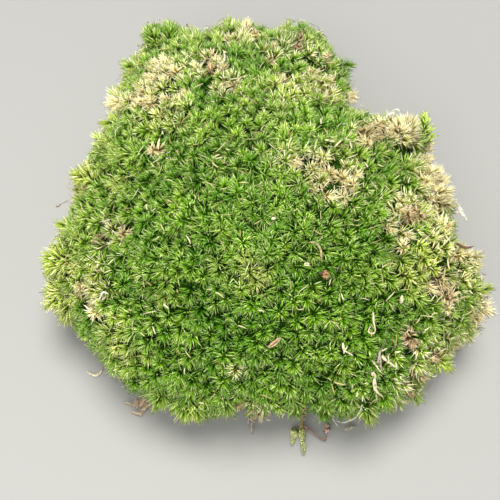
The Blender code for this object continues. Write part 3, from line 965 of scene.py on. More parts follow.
def add_strand(corners, path, lift, width):
    """Adds a strand's corners along a path: an end, a point for each ring, and an end."""
    corners.append(path[0])
    for number, (_, fullness) in enumerate(STRAND_RINGS):
        ahead = (path[number + 2] - path[number]).normalized()
        side = ahead.cross(lift).normalized() * (width / 2 * fullness)
        middle = path[number + 1]
        corners += [middle + side, middle + lift * (width * 0.45 * fullness), middle - side]
    corners.append(path[-1])


def joined_mesh(name, pattern, corners, **kept):
    """A mesh of leaves or strands that were added one after another, with a number for each kept."""
    size = len(pattern.along)
    count = len(corners) // size
    faces = [
        tuple(size * shape + corner for corner in face)
        for shape in range(count) for face in pattern.faces
    ]
    mesh = bpy.data.meshes.new(name)
    mesh.from_pydata([tuple(corner) for corner in corners], [], faces)
    set_attribute(mesh, "along", pattern.along * count)
    for title, numbers in kept.items():
        set_attribute(mesh, title, np.repeat(numbers, size))
    mesh.shade_smooth()
    return mesh


def between(low, high, way):
    """The value some way from a low one to a high one."""
    return low + (high - low) * way


def spoke(bearing, angle):
    """The direction at a bearing and an angle off Z, and the one square to it that points down."""
    out = Vector((math.cos(bearing), math.sin(bearing), 0))
    ahead = out * math.sin(angle) + Vector((0, 0, math.cos(angle)))
    return ahead, out * math.cos(angle) - Vector((0, 0, math.sin(angle)))


def shoot_leaves(
    chance, leaves, stem, low_angle, high_angle, disorder, low_length, high_length, arch, width
):
    """The leaves of one shoot, its stem along Z and its topmost leaf tips at TIP_LEVEL."""
    corners, tones, youths = [], [], []
    stem_top = (TIP_LEVEL - high_length * math.cos(math.radians(high_angle))) * MM
    for number in range(leaves):
        way = number / (leaves - 1)
        bearing = number * GOLDEN_TURN + chance.uniform(-0.5, 0.5)
        opening = between(low_angle, high_angle, way**1.2)
        ahead, back = spoke(bearing, math.radians(opening + chance.gauss(0, disorder)))
        twist = Matrix.Rotation(chance.uniform(-0.8, 0.8), 3, ahead)
        add_leaf(
            corners,
            Vector((0, 0, stem_top - stem * MM * (1 - way))),
            ahead,
            twist @ back,
            between(low_length, high_length, way) * chance.uniform(0.72, 1.12) * MM,
            width * chance.uniform(0.75, 1.15) * MM,
            arch * chance.uniform(0.2, 1.8),
        )
        tones.append(chance.random())
        # The higher a leaf sits, the brighter it is painted: partly its youth, partly painted light and, low
        # down, painted shade.
        youths.append(way)
    reach = (stem + BARE_STEM) * MM
    add_leaf(corners, Vector((0, 0, stem_top - reach)), UP, Vector((1, 0, 0)), reach, STEM_WIDTH * MM, 0)
    tones.append(0.0)
    youths.append(0.0)
    return corners, tones, youths


def collection_of(name, meshes):
    """A collection of helper objects, one for each mesh."""
    made = bpy.data.collections.new(name)
    bpy.context.scene.collection.children.link(made)
    for number, mesh in enumerate(meshes):
        made.objects.link(bpy.data.objects.new(f"{name}_{number:02d}", mesh))
    return made


def shoot_meshes(forms, chance):
    """A mesh for each shoot of every form."""
    for form, count, *sizes in forms:
        for _ in range(count):
            corners, tones, youths = shoot_leaves(chance, *sizes)
            yield joined_mesh(form, LEAF, corners, leaf_tone=tones, youth=youths)


def discard_collection(made):
    """Removes a collection of helpers."""
    discard(*made.objects)
    bpy.data.collections.remove(made)


def tree_of(mesh):
    """A search tree of a mesh."""
    work = bmesh.new()
    work.from_mesh(mesh)
    tree = BVHTree.FromBMesh(work)
    work.free()
    return tree


def closeness(rows, middle, spread, edge=2):
    """How near each row is to a point: 1 there, 0 well past its spread. A higher edge is sharper."""
    gaps = np.linalg.norm(rows - np.array(middle), axis=1)
    return np.exp(-((gaps / spread) ** edge))


def raise_hummocks(mesh):
    """Swells the carrier out into hummocks and lumps."""
    tree = tree_of(mesh)
    rows = coordinates(mesh)
    rise = np.full(len(rows), SWELL)
    for _, pixel, spread, height in HUMMOCKS:
        rise += closeness(rows, spot_at(tree, pixel), spread * MM) * height * MM
    for per_metre, height in LUMPS:
        rise += wander(rows, per_metre) * height
    rows += normals_of(mesh) * rise[:, None]
    rows[:, 2] = np.maximum(rows[:, 2], 0)
    set_coordinates(mesh, rows)


def mark_zones(mesh):
    """Gives the carrier its places: how dry, brown and pale its shoots are, and their size."""
    tree = tree_of(mesh)
    rows = coordinates(mesh)
    dry = np.full(len(rows), STRAY_DRY)
    brown = np.full(len(rows), 0.05)
    pale = np.zeros(len(rows))
    for _, pixel, spread, dry_share, brown_share, pale_share in ZONES:
        weight = closeness(rows, spot_at(tree, pixel), spread * MM, 4)
        dry = np.maximum(dry, dry_share * weight)
        brown += (brown_share - brown) * weight
        pale = np.maximum(pale, pale_share * weight)
    patches = wander(rows, PATCHES)
    backness = np.clip((rows[:, 1] - CAD_LOW.y) / (CAD_HIGH.y - CAD_LOW.y), 0, 1)
    sideness = np.clip((np.abs(rows[:, 0]) / CAD_HIGH.x - 0.45) / 0.4, 0, 1)
    # Towards the back the shoots turn paler, partly their own yellowing and partly painted light, where the
    # back faces the light above.
    pale = pale + backness**1.5 * 0.10 + sideness * 0.25 + patches * 0.35
    greenness = closeness(rows, spot_at(tree, GREEN_FRONT), GREEN_REACH, 4)
    bits = (1 - (1 - FEW_BITS) * greenness) * (0.75 + np.minimum(dry, 0.8) * 1.2 + patches * 0.8)
    set_attribute(mesh, "bits", np.clip(bits, 0.02, 2) * (rows[:, 2] > BITS_ABOVE))
    foot = np.clip(1 - rows[:, 2] / FOOT_TOP, 0, 1)
    dry = np.maximum(dry, foot * 0.25)
    brown = np.maximum(brown, foot)
    set_attribute(mesh, "dry", np.clip(dry, 0, 1))
    set_attribute(mesh, "brown", np.clip(brown, 0, 1))
    # At the front foot the shoots are made less pale, and through the crowd value darker, which is painted
    # shade.
    frontness = np.clip((FRONT_FOOT_TOP - rows[:, 2]) / FRONT_FOOT_FADE, 0, 1)
    frontness *= np.clip((FRONT_FOOT_START - rows[:, 1]) / FRONT_FOOT_DEPTH, 0, 1)
    set_attribute(mesh, "pale", np.clip(pale - frontness * 0.25, 0, 1))
    set_attribute(mesh, "size", 1.0 - backness * 0.18 + frontness * FOOT_GROWTH)
    set_attribute(mesh, "crowd", 1.0 - frontness * FOOT_THINNED_AND_SHADED)


# ---- Geometry trees ----

def geometry_tree(name, inputs):
    """A geometry tree with named inputs beside those that all trees have, and its group input."""
    tree = bpy.data.node_groups.new(name, "GeometryNodeTree")
    tree.is_modifier = True
    tree.interface.new_socket("Geometry", in_out="OUTPUT", socket_type="NodeSocketGeometry")
    shared = (("Geometry", "Geometry"), ("Spacing", "Float"), ("Seed", "Int"), ("Material", "Material"))
    for title, kind in (*shared, *inputs):
        tree.interface.new_socket(title, in_out="INPUT", socket_type=f"NodeSocket{kind}")
    nodes = Nodes(tree)
    return nodes, nodes.add("NodeGroupInput")


def finish_tree(nodes, group, geometry):
    """Ends a tree: instances made real, and the material set."""
    real = nodes.add("GeometryNodeRealizeInstances", {}, {"Geometry": geometry})
    inputs = {"Geometry": real, "Material": group.out("Material")}
    painted = nodes.add("GeometryNodeSetMaterial", {}, inputs)
    output = nodes.tree.nodes.new("NodeGroupOutput")
    nodes.plug(output.inputs[0], painted)
    return nodes.tree


def grown(mesh, tree, values, name):
    """The mesh that a geometry tree grows on a carrier mesh, for these input values."""
    helper = add_object(f"{name}_carrier", mesh.copy())
    modifier = helper.modifiers.new(tree.name, "NODES")
    modifier.node_group = tree
    for item in tree.interface.items_tree:
        if item.in_out == "INPUT" and item.name in values:
            modifier[item.identifier] = values[item.name]
    return evaluated(helper, name)


DRIFT_SCALE = 38.0  # how many times a metre the common lean changes
DEAD_AT_MOST = 0.78  # the share of dead shoots where the moss is driest


def planted(nodes, group, points, facing):
    """Shoots on points: dead or living by the point's dryness, each turned and sized at random."""
    dry = nodes.field("dry")
    pale = nodes.field("pale") * nodes.random(0.5, 1.3, 3) + nodes.random(-0.05, 0.15, 4)
    brown = nodes.field("brown") + nodes.random(-0.25, 0.25, 5)
    for name, value in (
        ("shoot_dead", nodes.random(0.0, 1.0, 1) < dry.power(1.4) * DEAD_AT_MOST),
        ("shoot_dry", dry),
        # A shoot's tone is random, and lowered at the front foot, where it is painted shade.
        ("shoot_tone", nodes.random(0.0, 1.0, 2) * nodes.field("crowd")),
        ("shoot_pale", pale.clamped()),
        ("shoot_brown", brown.clamped()),
    ):
        points = nodes.store(points, name, value)

    place = nodes.add("GeometryNodeInputPosition")
    swirl = nodes.add("ShaderNodeTexNoise", {}, {"Vector": place, "Scale": DRIFT_SCALE}, "Color")
    drift = nodes.vector("SUBTRACT", swirl, (0.5, 0.5, 0.5))
    outward = nodes.vector("MULTIPLY", place, (1, 1, 0))
    level = nodes.part(facing, "Z").clamped()
    heading = nodes.total(
        facing,
        nodes.scaled(nodes.stray(6), group.out("Lean")),
        nodes.scaled(drift, group.out("Drift") * 2.0),
        nodes.scaled(outward, group.out("Splay") / CAD_HIGH.x),
        nodes.scaled((0, -1, 0), group.out("Comb") * level),
    )
    sinking = group.out("Depth") * nodes.random(0.0, 1.0, 10).power(1.6)
    points = nodes.add(
        "GeometryNodeSetPosition", {}, {"Geometry": points, "Offset": nodes.scaled(facing, 0 - sinking)}
    )
    turned = nodes.turned(heading, 7)
    size = nodes.field("size") * (1.0 + group.out("Unevenness") * nodes.random(-1.0, 1.0, 8))

    kinds = [
        nodes.picked(
            points, chosen, group.out(f"{title} Shoots"), group.out(f"{title} Count"), turned, size, 9
        )
        for title, chosen in (
            ("Living", 1.0 - nodes.field("shoot_dead")), ("Dry", nodes.field("shoot_dead")),
        )
    ]
    joined = nodes.add("GeometryNodeJoinGeometry")
    for kind in reversed(kinds):
        nodes.tree.links.new(kind.socket, joined.node.inputs[0])
    return joined


def carpet_tree():
    """Shoots all over a carrier, evenly but not in rows, inside one wedge of bearings."""
    nodes, group = geometry_tree("Carpet of shoots", (
        ("Living Shoots", "Collection"), ("Living Count", "Int"),
        ("Dry Shoots", "Collection"), ("Dry Count", "Int"),
        ("Lean", "Float"), ("Drift", "Float"), ("Splay", "Float"), ("Comb", "Float"),
        ("Depth", "Float"), ("Unevenness", "Float"), ("From Bearing", "Float"), ("Bearing Width", "Float"),
    ))
    spacing = group.out("Spacing")
    scattered = nodes.scattered(group, "POISSON", {
        "Distance Min": spacing * 0.9, "Density Max": 4.0 / (spacing * spacing),
        "Density Factor": nodes.field("crowd"),
    })
    place = nodes.add("GeometryNodeInputPosition")
    bearing = place.math("ARCTAN2", nodes.part(place, "Y"), nodes.part(place, "X"))
    turn = bearing.math("WRAP", bearing - group.out("From Bearing"), math.tau, 0.0)
    inside = nodes.without(scattered, turn > group.out("Bearing Width"))
    return finish_tree(nodes, group, planted(nodes, group, inside, scattered.out("Normal")))


def bit_tree():
    """Dead leaves and straws that lie over a carrier, thickly or thinly as its attribute says."""
    nodes, group = geometry_tree("Scatter of dead leaves", (
        ("Lift", "Float"), ("Tilt", "Float"), ("Bits", "Collection"), ("Bit Count", "Int"),
    ))
    spacing = group.out("Spacing")
    density = {"Density": nodes.field("bits") / (spacing * spacing)}
    scattered = nodes.scattered(group, "RANDOM", density)
    facing = scattered.out("Normal")
    rise = nodes.scaled(facing, group.out("Lift") * nodes.random(0.35, 1.0, 21))
    raised = nodes.add("GeometryNodeSetPosition", {}, {"Geometry": scattered, "Offset": rise})
    toned = nodes.store(raised, "bit_tone", nodes.random(0.0, 1.0, 22))
    leaning = nodes.total(facing, nodes.scaled(nodes.stray(23), group.out("Tilt")))
    size = nodes.random(0.7, 1.15, 24)
    bits = nodes.picked(
        toned, True, group.out("Bits"), group.out("Bit Count"), nodes.turned(leaning, 25), size, 26
    )
    return finish_tree(nodes, group, bits)


def fibre_tree():
    """Wisps of old stems round the foot of a carrier, pointing outwards and down."""
    nodes, group = geometry_tree("Wisps of old stems", (
        ("Top", "Float"), ("Wisps", "Collection"), ("Wisp Count", "Int"),
    ))
    spacing = group.out("Spacing")
    density = {"Distance Min": spacing * 0.8, "Density Max": 1.4 / (spacing * spacing)}
    scattered = nodes.scattered(group, "POISSON", density)
    height = nodes.part(nodes.add("GeometryNodeInputPosition"), "Z")
    low = nodes.without(scattered, height > group.out("Top") * nodes.random(0.5, 1.0, 31))
    outward = nodes.vector("MULTIPLY", scattered.out("Normal"), (1, 1, 0.2))
    heading = nodes.total(outward, (0, 0, -0.25), nodes.scaled(nodes.stray(32), 0.5))
    wisps = nodes.picked(
        low, True, group.out("Wisps"), group.out("Wisp Count"), nodes.turned(heading, 33),
        nodes.random(0.7, 1.2, 34), 35,
    )
    return finish_tree(nodes, group, wisps)


def keep_off_ground(mesh):
    """Presses what hangs low up from the ground, so that nothing reaches through it."""
    bend = 4 * MM
    clear = 0.3 * MM
    rows = coordinates(mesh)
    low = rows[:, 2] < bend
    room = bend - clear
    rows[low, 2] = clear + room * np.exp((rows[low, 2] - bend) / room)
    set_coordinates(mesh, rows)


def drop_helpers(mesh):
    """Removes the attributes that only planting needed."""
    for name in ("id", "dry", "brown", "pale", "size", "crowd", "bits"):
        layer = mesh.attributes.get(name)
        if layer:
            mesh.attributes.remove(layer)


def lay_out(mesh, pattern):
    """A UV map that gives each leaf or strand a cell of its own."""
    count = len(mesh.loops) // (3 * len(pattern.faces))
    columns = math.ceil(math.sqrt(count * 2))
    rows = math.ceil(count / columns)
    margin = 0.06
    inside = margin + np.array(pattern.spots) * (1 - 2 * margin)
    numbers = np.arange(count)
    cells = np.stack([numbers % columns, numbers // columns], axis=1)
    spots = (cells[:, None, :] + inside[None, :, :]) / np.array([columns, rows])
    layer = mesh.uv_layers.new(name="OFBake")
    layer.data.foreach_set("uv", spots.astype(np.float32).ravel())


def finish_piece(mesh, name, slot, nodes):
    """An object of a finished mesh that rides on the clump and stands for CAD nodes."""
    piece = add_object(name, mesh)
    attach(piece, BODY)
    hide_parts(*nodes)


def finish_growth(mesh, name, slot, node=CUSHION, pattern=LEAF):
    """Finishes a piece of leaves or strands that stands for one CAD node."""
    keep_off_ground(mesh)
    drop_helpers(mesh)
    lay_out(mesh, pattern)
    finish_piece(mesh, name, slot, [node])


# ---- Operators ----

def settings_of(context):
    """The clump's settings."""
    return context.scene.moss_clump


def values_of(settings, titles):
    """The values of a tree's inputs that are named as settings are."""
    return {title: getattr(settings, title.lower()) for title in titles.split()}


class MOSS_OT_shoots(bpy.types.Operator):
    """Covers the cushion with leafy shoots"""

    bl_idname = "moss.grow_shoots"
    bl_label = "Grow shoots"

    def execute(self, context):
        settings = settings_of(context).shoots
        chance = random.Random(settings.seed)
        carrier = inner_form("shoot_carrier")
        self.open_below(carrier)
        mark_zones(carrier)
        living = collection_of("living_shoots", shoot_meshes(GREEN_FORMS, chance))
        dry = collection_of("dry_shoots", shoot_meshes(DRY_FORMS, chance))
        values = {
            **values_of(settings, "Spacing Seed Lean Drift Splay Comb Depth Unevenness"),
            "Living Shoots": living, "Living Count": len(living.objects) - 1,
            "Dry Shoots": dry, "Dry Count": len(dry.objects) - 1,
            "Bearing Width": math.radians(WEDGE_WIDTH), "Material": leaf_material(settings),
        }
        tree = carpet_tree()
        for name, start in WEDGES:
            values["From Bearing"] = math.radians(start)
            finish_growth(grown(carrier, tree, values, name), name, "moss")
        bpy.data.meshes.remove(carrier)
        discard_collection(living)
        discard_collection(dry)
        return {"FINISHED"}

    def open_below(self, mesh):
        """Takes away the carrier's underside, where nothing grows."""
        def change(work):
            under = [face for face in work.faces if face.calc_center_median().z < UNDERSIDE]
            bmesh.ops.delete(work, geom=under, context="FACES")

        edit(mesh, change)


class MOSS_OT_standing(bpy.types.Operator):
    """Sets the shoots that stand out at the rim"""

    bl_idname = "moss.stand_shoots"
    bl_label = "Stand shoots"

    def execute(self, context):
        settings = settings_of(context).shoots
        chance = random.Random(settings.seed + 1)
        carrier = inner_form("standing_carrier")
        tree = tree_of(carrier)
        bpy.data.meshes.remove(carrier)
        corners = []
        kept = {name: [] for name in (
            "leaf_tone", "youth", "shoot_dead", "shoot_pale", "shoot_tone", "shoot_brown", "shoot_dry",
        )}
        for _, form, pixel, heading, size, dry, pale in STANDING:
            leaves, tones, youths = shoot_leaves(chance, *STANDING_FORMS[form])
            placed = self.placing(tree, pixel, heading, size, STAND_OUT[form])
            corners += [placed @ corner for corner in leaves]
            count = len(tones)
            alike = ([value] * count for value in (dry, pale, chance.random(), 0.1, dry * 0.5))
            for name, numbers in zip(kept, (tones, youths, *alike)):
                kept[name] += numbers
        mesh = joined_mesh("standing_shoots", LEAF, corners, **kept)
        mesh.materials.append(bpy.data.materials["moss_leaf"])
        finish_growth(mesh, "standing_shoots", "moss")
        return {"FINISHED"}

    def placing(self, tree, pixel, heading, size, lift):
        """Where a standing shoot stands, and how it is turned and sized."""
        _, forward, up = camera_axes()
        axis = Vector((heading[0], 0, 0)) + up * heading[1]
        axis = (axis.normalized() - forward * TOWARDS_CAMERA).normalized()
        foot = spot_at(tree, pixel)
        turn = axis.to_track_quat("Z", "Y").to_matrix().to_4x4()
        return Matrix.Translation(foot + axis * lift) @ turn @ Matrix.Scale(size, 4)


class MOSS_OT_thatch(bpy.types.Operator):
    """Fills the cushion with old growth, flat where it was cut"""

    bl_idname = "moss.lay_thatch"
    bl_label = "Lay thatch"

    def execute(self, context):
        settings = settings_of(context).thatch
        mesh = inner_form("moss_thatch")
        rows = coordinates(mesh) - normals_of(mesh) * settings.depth
        lowest = rows[:, 2].min()
        stretched = (rows[:, 2] - lowest) * STRETCHED_BELOW * MM / (STRETCHED_BELOW * MM - lowest)
        rows[:, 2] = np.where(rows[:, 2] < STRETCHED_BELOW * MM, stretched, rows[:, 2])
        rows[rows[:, 2] < CUT_BELOW, 2] = 0
        ruffle = wander(rows, THATCH_RUFFLES)
        rows[:, :2] *= (1 + ruffle * 0.012)[:, None]
        rows[:, 2] += np.where(rows[:, 2] > CUT_BELOW, ruffle * 0.9 * MM, 0)
        set_coordinates(mesh, rows)
        mesh.shade_smooth()
        mesh.materials.clear()
        mesh.materials.append(thatch_material(settings))
        finish_piece(mesh, "moss_thatch", "moss", [CUSHION])
        return {"FINISHED"}


class MOSS_OT_fibres(bpy.types.Operator):
    """Hangs wisps of old stems round the foot"""

    bl_idname = "moss.hang_fibres"
    bl_label = "Hang fibres"

    def execute(self, context):
        settings = settings_of(context).thatch
        chance = random.Random(settings.seed)
        wisps = collection_of("wisps", (self.wisp(chance) for _ in range(WISP_FORMS)))
        values = {
            "Spacing": settings.fibre_spacing, "Seed": settings.seed, "Top": settings.fibre_top,
            "Wisps": wisps, "Wisp Count": len(wisps.objects) - 1,
            "Material": fibre_material(settings),
        }
        mesh = grown(bpy.data.objects["moss_thatch"].data, fibre_tree(), values, "foot_fibres")
        finish_growth(mesh, "foot_fibres", "brown")
        discard_collection(wisps)
        return {"FINISHED"}

    def wisp(self, chance):
        """A few old stems with withered leaves, along Z."""
        corners, tones = [], []
        for number in range(WISP_LEAVES):
            ahead, back = spoke(number * GOLDEN_TURN, math.radians(chance.uniform(8, 48)))
            reach = chance.uniform(4.5, 8.5) * MM
            base = Vector((0, 0, -2 * MM))
            add_leaf(corners, base, ahead, back, reach, chance.uniform(0.35, 0.6) * MM, 0.15)
            tones.append(chance.random())
        return joined_mesh("wisp", LEAF, corners, leaf_tone=tones)


class MOSS_OT_bits(bpy.types.Operator):
    """Scatters dead leaves and straws over the moss"""

    bl_idname = "moss.scatter_bits"
    bl_label = "Scatter bits"

    def execute(self, context):
        settings = settings_of(context).bits
        chance = random.Random(settings.seed)
        carrier = inner_form("bit_carrier")
        mark_zones(carrier)
        bits = collection_of("bits", (self.bit(chance) for _ in range(BIT_FORMS)))
        values = {
            **values_of(settings, "Spacing Seed Lift Tilt"),
            "Bits": bits, "Bit Count": len(bits.objects) - 1, "Material": bit_material(settings),
        }
        mesh = grown(carrier, bit_tree(), values, "dead_bits")
        finish_growth(mesh, "dead_bits", "cream", pattern=STRAND)
        bpy.data.meshes.remove(carrier)
        discard_collection(bits)
        return {"FINISHED"}

    def bit(self, chance):
        """One curved leaf or straw, lying about the origin."""
        reach = chance.uniform(2.0, 5.6) * MM
        bend = chance.gauss(0, 0.5)
        bow = chance.uniform(-0.3, 0.5)
        places = [0, *(place for place, _ in STRAND_RINGS), 1]
        path = [Vector((0, 0, 0))]
        for first, second in zip(places[:-1], places[1:]):
            middle = (first + second) / 2 - 0.5
            step = Vector((math.cos(bend * middle), math.sin(bend * middle), -bow * middle * 2))
            path.append(path[-1] + step * (reach * (second - first)))
        centre = (path[0] + path[-1]) / 2
        corners = []
        width = chance.choice((0.26, 0.34, 0.42, 0.6)) * MM
        add_strand(corners, [point - centre for point in path], UP, width)
        return joined_mesh("bit", STRAND, corners)


# Litter that only gets rounder and rougher, by the colour of its finish.
LITTER_TINTS = {
    "cream": (
        "straw_back_left", "straw_back_middle", "straw_back_right", "bent_straw_back",
        "short_straw_back", "upright_strand_back", "pale_stalk_right", "curved_leaf_right",
        "bent_blade_left", "white_seed_middle", "beige_seed",
    ),
    "tan": ("crescent_strand", "tan_crumb", "red_strand_left"),
    "white": ("angled_strand_left",),
}

# Litter that is shaped anew where its solids are: the colour of its matter, its finish, its solids,
# how deep its upper side is hollowed, with painted shade inside the hollow, how far it is crumpled in mm,
# and its limbs. A limb is its points, its widths from end to end and its thickness as a share of them.
# A point is the column and the row of its pixel and its height over the ground in mm. Widths are in mm.
Remade = namedtuple("Remade", "tint slot nodes hollow crumple limbs")
REMADE = {
    "twig_bark": Remade("bark", "red_brown", ("twig", "twig_fork_long", "twig_fork_short"), 0.0, 0.12, (
        (((303.0, 425.5, 1.8), (309, 430, 1.1), (313, 433.2, 0.8), (319.5, 438, 0.7), (326, 441.2, 0.6)),
         (0.55, 0.7, 1.2, 0.7, 0.8, 0.65, 0.75, 0.6), 1.0),
        (((321.5, 438.8, 0.8), (324.5, 438.6, 0.9), (326.4, 437.2, 0.8)), (0.6, 0.6, 0.8, 0.4), 1.0),
    )),
    "bud_scale_drop": Remade("pink_tan", "pink_tan", ("bud_scale",), 0.0, 0.12, (
        (((326.5, 421.5, 1.8), (326.2, 427, 1.4), (326.5, 434.2, 1.1)),
         (0.3, 1.0, 1.6, 2.3, 2.9, 3.0, 2.3, 0.5), 0.6),
    )),
    "boat_scale_husk": Remade("husk", "red_brown", ("boat_scale",), 1.6, 0.05, (
        (((267.5, 347.5, 51.4), (274, 343.6, 52.3), (281.5, 336.6, 51.8)),
         (0.12, 0.8, 1.4, 1.65, 1.4, 0.75, 0.12), 0.8),
    )),
    "leaf_fragment": Remade("rust", "red_brown", ("red_leaf_fragment",), 0.0, 0.8, (
        (((320.4, 273.4, 59.9), (325, 272.4, 60.9), (330, 274.3, 59.9)), (0.3, 1.1, 1.5, 1.2, 0.3), 0.5),
        (((321.3, 276.4, 59.8), (325.4, 276.0, 60.5), (328.2, 278.2, 59.6)), (0.3, 1.0, 1.3, 0.4), 0.5),
        (((322.2, 270.6, 60.5), (325.4, 274.6, 60.2), (327.4, 277, 59.8)), (0.8, 0.9, 1.1, 0.3), 0.5),
    )),
    "old_stems": Remade("stalk", "brown", ("old_stem_front",), 0.0, 0.08, (
        (((288, 414.6, 9.5), (294, 415.2, 9), (301, 414.4, 9)), (0.8, 1.0, 0.9, 0.9, 0.6), 1.0),
        (((251.6, 417, 6), (251.8, 424, 2.5), (252.2, 434.5, 0.8)), (0.4, 0.5, 0.55, 0.8, 0.5), 1.0),
        (((248.8, 416, 6), (248.4, 421, 3), (248.2, 426.5, 1.6)), (0.4, 0.5, 0.6, 0.3), 1.0),
    )),
    "stalk_with_knob": Remade("stalk", "grey", ("stalk_left",), 0.0, 0.05, (
        (((79, 195.5, 33.5), (71, 199, 31), (63, 203, 28), (56.5, 206.5, 26)),
         (0.45, 0.36, 0.32, 0.32, 0.32, 0.32, 0.36, 1.3, 0.8), 1.0),
        (((65.8, 201.7, 29.2), (72, 203.7, 29.0), (79, 204.5, 29.0)), (0.25, 0.3, 0.2), 1.0),
        (((77, 197.5, 32.0), (76, 201, 31.0), (75, 205, 29.5)), (1.6, 1.4, 0.3), 0.2),
    )),
    "shredded_flake": Remade("white", "white", ("white_flake_right",), 0.0, 0.12, (
        (((456.4, 197.5, 37.5), (456, 203, 36), (457, 208.5, 35)), (0.2, 0.8, 1.0, 0.6), 0.5),
        (((457, 203, 36), (459.5, 208.5, 34), (462.5, 214.5, 32), (467.4, 221, 29.5)),
         (0.4, 1.4, 2.0, 2.2, 1.9, 1.7, 0.5), 0.4),
        (((460.5, 211.5, 33), (456, 212, 33.5), (451.5, 212.5, 33.5)), (1.0, 0.7, 0.3), 0.4),
    )),
    "white_fork": Remade("cream", "white", ("white_fork_stem", "white_fork_branch"), 0.0, 0.08, (
        (((342.9, 342.6, 51), (343.2, 347, 50.5), (344.4, 350.7, 50), (343.8, 353.8, 49.5)),
         (0.4, 0.9, 0.9, 0.6, 0.3), 0.6),
        (((344, 350.3, 50), (348, 352.6, 49.5), (353, 355.6, 48.2)), (0.5, 0.5, 0.45, 0.5, 0.3), 0.7),
        (((344.3, 350.5, 50), (345.8, 349, 50.6), (347.6, 346.4, 51)), (0.5, 0.4, 0.2), 0.7),
    )),
    "knobbed_blade": Remade("cream", "cream", ("pale_strand_front",), 0.5, 0.08, (
        (((372.2, 376, 43), (373.4, 373.4, 43.5), (375.2, 376, 42.7), (374.5, 383, 41),
          (376.6, 391, 38.5), (384, 398, 35.5)),
         (0.4, 1.2, 0.9, 0.6, 0.9, 1.4, 1.3, 0.6, 0.2), 0.45),
    )),
    "hooked_strand": Remade("cream", "cream", ("curled_strand_front",), 0.0, 0.06, (
        (((373.5, 312, 52.5), (373.6, 321, 51.5), (375.2, 329.5, 50.5), (373, 333.6, 50),
          (368.5, 331.6, 50.5), (370.5, 326, 51.2)),
         (0.3, 0.8, 0.45, 0.4, 0.5, 0.45, 0.4, 0.2), 0.6),
    )),
    "crossed_straws": Remade("cream", "cream", ("crossed_straw_lower",), 0.0, 0.08, (
        (((381.6, 355.6, 44.5), (386, 360.3, 43.5), (390.5, 363.3, 42.5), (395.8, 367.6, 41)),
         (0.5, 1.2, 0.9, 0.5, 0.7, 0.8, 0.7, 0.3), 0.6),
        (((388.4, 355.6, 44.5), (388.3, 359, 44), (389.8, 362.3, 42.5)), (0.35, 0.4, 0.4), 0.7),
        (((371.8, 360, 46), (376, 365.5, 44.5), (381.2, 372.3, 42.5)), (0.3, 0.7, 0.5, 0.3), 0.6),
    )),
    "brown_stalks": Remade("stalk", "tan", ("crossed_straw_upper",), 0.0, 0.1, (
        (((380.4, 350, 46.5), (378.9, 356, 46), (378, 363, 44.8)), (0.4, 0.8, 0.6, 0.5), 0.8),
        (((379.3, 355, 46), (380.6, 361, 45), (380.8, 368.5, 43.5)), (0.5, 0.7, 0.6, 0.4), 0.8),
    )),
    "dark_stick": Remade("brown", "brown", ("dark_stick_right",), 0.0, 0.1, (
        (((457.5, 244, 49.5), (463, 247, 47.5), (468, 247.6, 46), (474, 246.3, 44.5)),
         (0.9, 1.3, 1.1, 0.7, 0.2), 0.8),
    )),
    "withered_scrap": Remade("scrap", "tan", ("dead_leaf_left",), 0.0, 0.12, (
        (((146, 398, 5), (142, 402, 3), (140, 408, 1.4)), (0.8, 1.8, 1.6, 0.5), 0.4),
        (((139, 406, 1.5), (134, 404.9, 0.9), (130, 404.3, 0.8), (124, 402.3, 0.8)),
         (0.35, 0.35, 0.4, 0.75, 0.8, 0.3), 0.6),
        (((142, 413.6, 0.9), (146, 408, 1.6), (151.5, 402.5, 3.5)), (0.6, 0.9, 0.7, 0.3), 0.4),
        (((141, 412, 1.0), (144, 408.5, 1.4), (147.5, 403, 3.0)), (0.5, 0.7, 0.5, 0.3), 0.4),
    )),
    "fallen_strand": Remade("scrap", "tan", ("dead_strand_left",), 0.0, 0.08, (
        (((142.5, 414.5, 0.8), (140, 414.4, 0.8), (135.5, 413.4, 0.7), (130.8, 412.3, 0.7)),
         (0.5, 1.3, 1.2, 1.0, 0.7, 0.15), 0.35),
    )),
    "straw_end": Remade("grey", "grey", ("grey_straw",), 0.0, 0.05, (
        (((344.2, 430, 0.9), (349.5, 428.6, 1.0), (355, 427.2, 1.0)), (0.9, 1.4, 1.3, 1.1, 0.6), 0.5),
    )),
    "seed_cup": Remade("cream", "white", ("white_seed_front",), 1.3, 0.03, (
        (((304.0, 264.5, 59.9), (306.8, 264.1, 60.2), (309.6, 264.5, 59.9)), (0.5, 1.2, 1.5, 1.2, 0.5), 0.7),
    )),
    "curled_leaves": Remade("white", "cream", ("curled_leaf_right",), 0.0, 0.05, (
        (((385.8, 108.3, 57), (387.4, 112.8, 55), (391.5, 115.5, 53.5), (396, 119, 52.5)),
         (0.3, 0.6, 0.7, 0.5), 0.6),
        (((389.5, 118, 53), (392, 112, 55), (396.5, 109.3, 57), (399.3, 111, 57), (399.2, 114.5, 55.5)),
         (0.5, 0.7, 0.6, 0.5, 0.3), 0.6),
        (((383, 120, 52.5), (389, 114.8, 55), (394, 112.4, 56)), (0.5, 0.7, 0.4), 0.6),
    )),
    "rootlet_threads": Remade("white", "white", ("rootlet_front",), 0.0, 0.05, (
        (((335.9, 420.5, 6.5), (342.7, 422.3, 9), (349, 420.5, 14), (355.5, 417.3, 21), (360, 411.8, 28),
          (362, 405, 33)), (0.35, 0.55, 0.75, 0.85, 0.8, 0.7, 0.5), 0.8),
        (((329, 412.5, 9), (333, 419, 5.5), (338.3, 427, 1.6)), (0.4, 0.6, 0.5, 0.25), 0.7),
    )),
}
SCRAP_FIBRES = 40  # fine fibres that hang out of the withered scrap


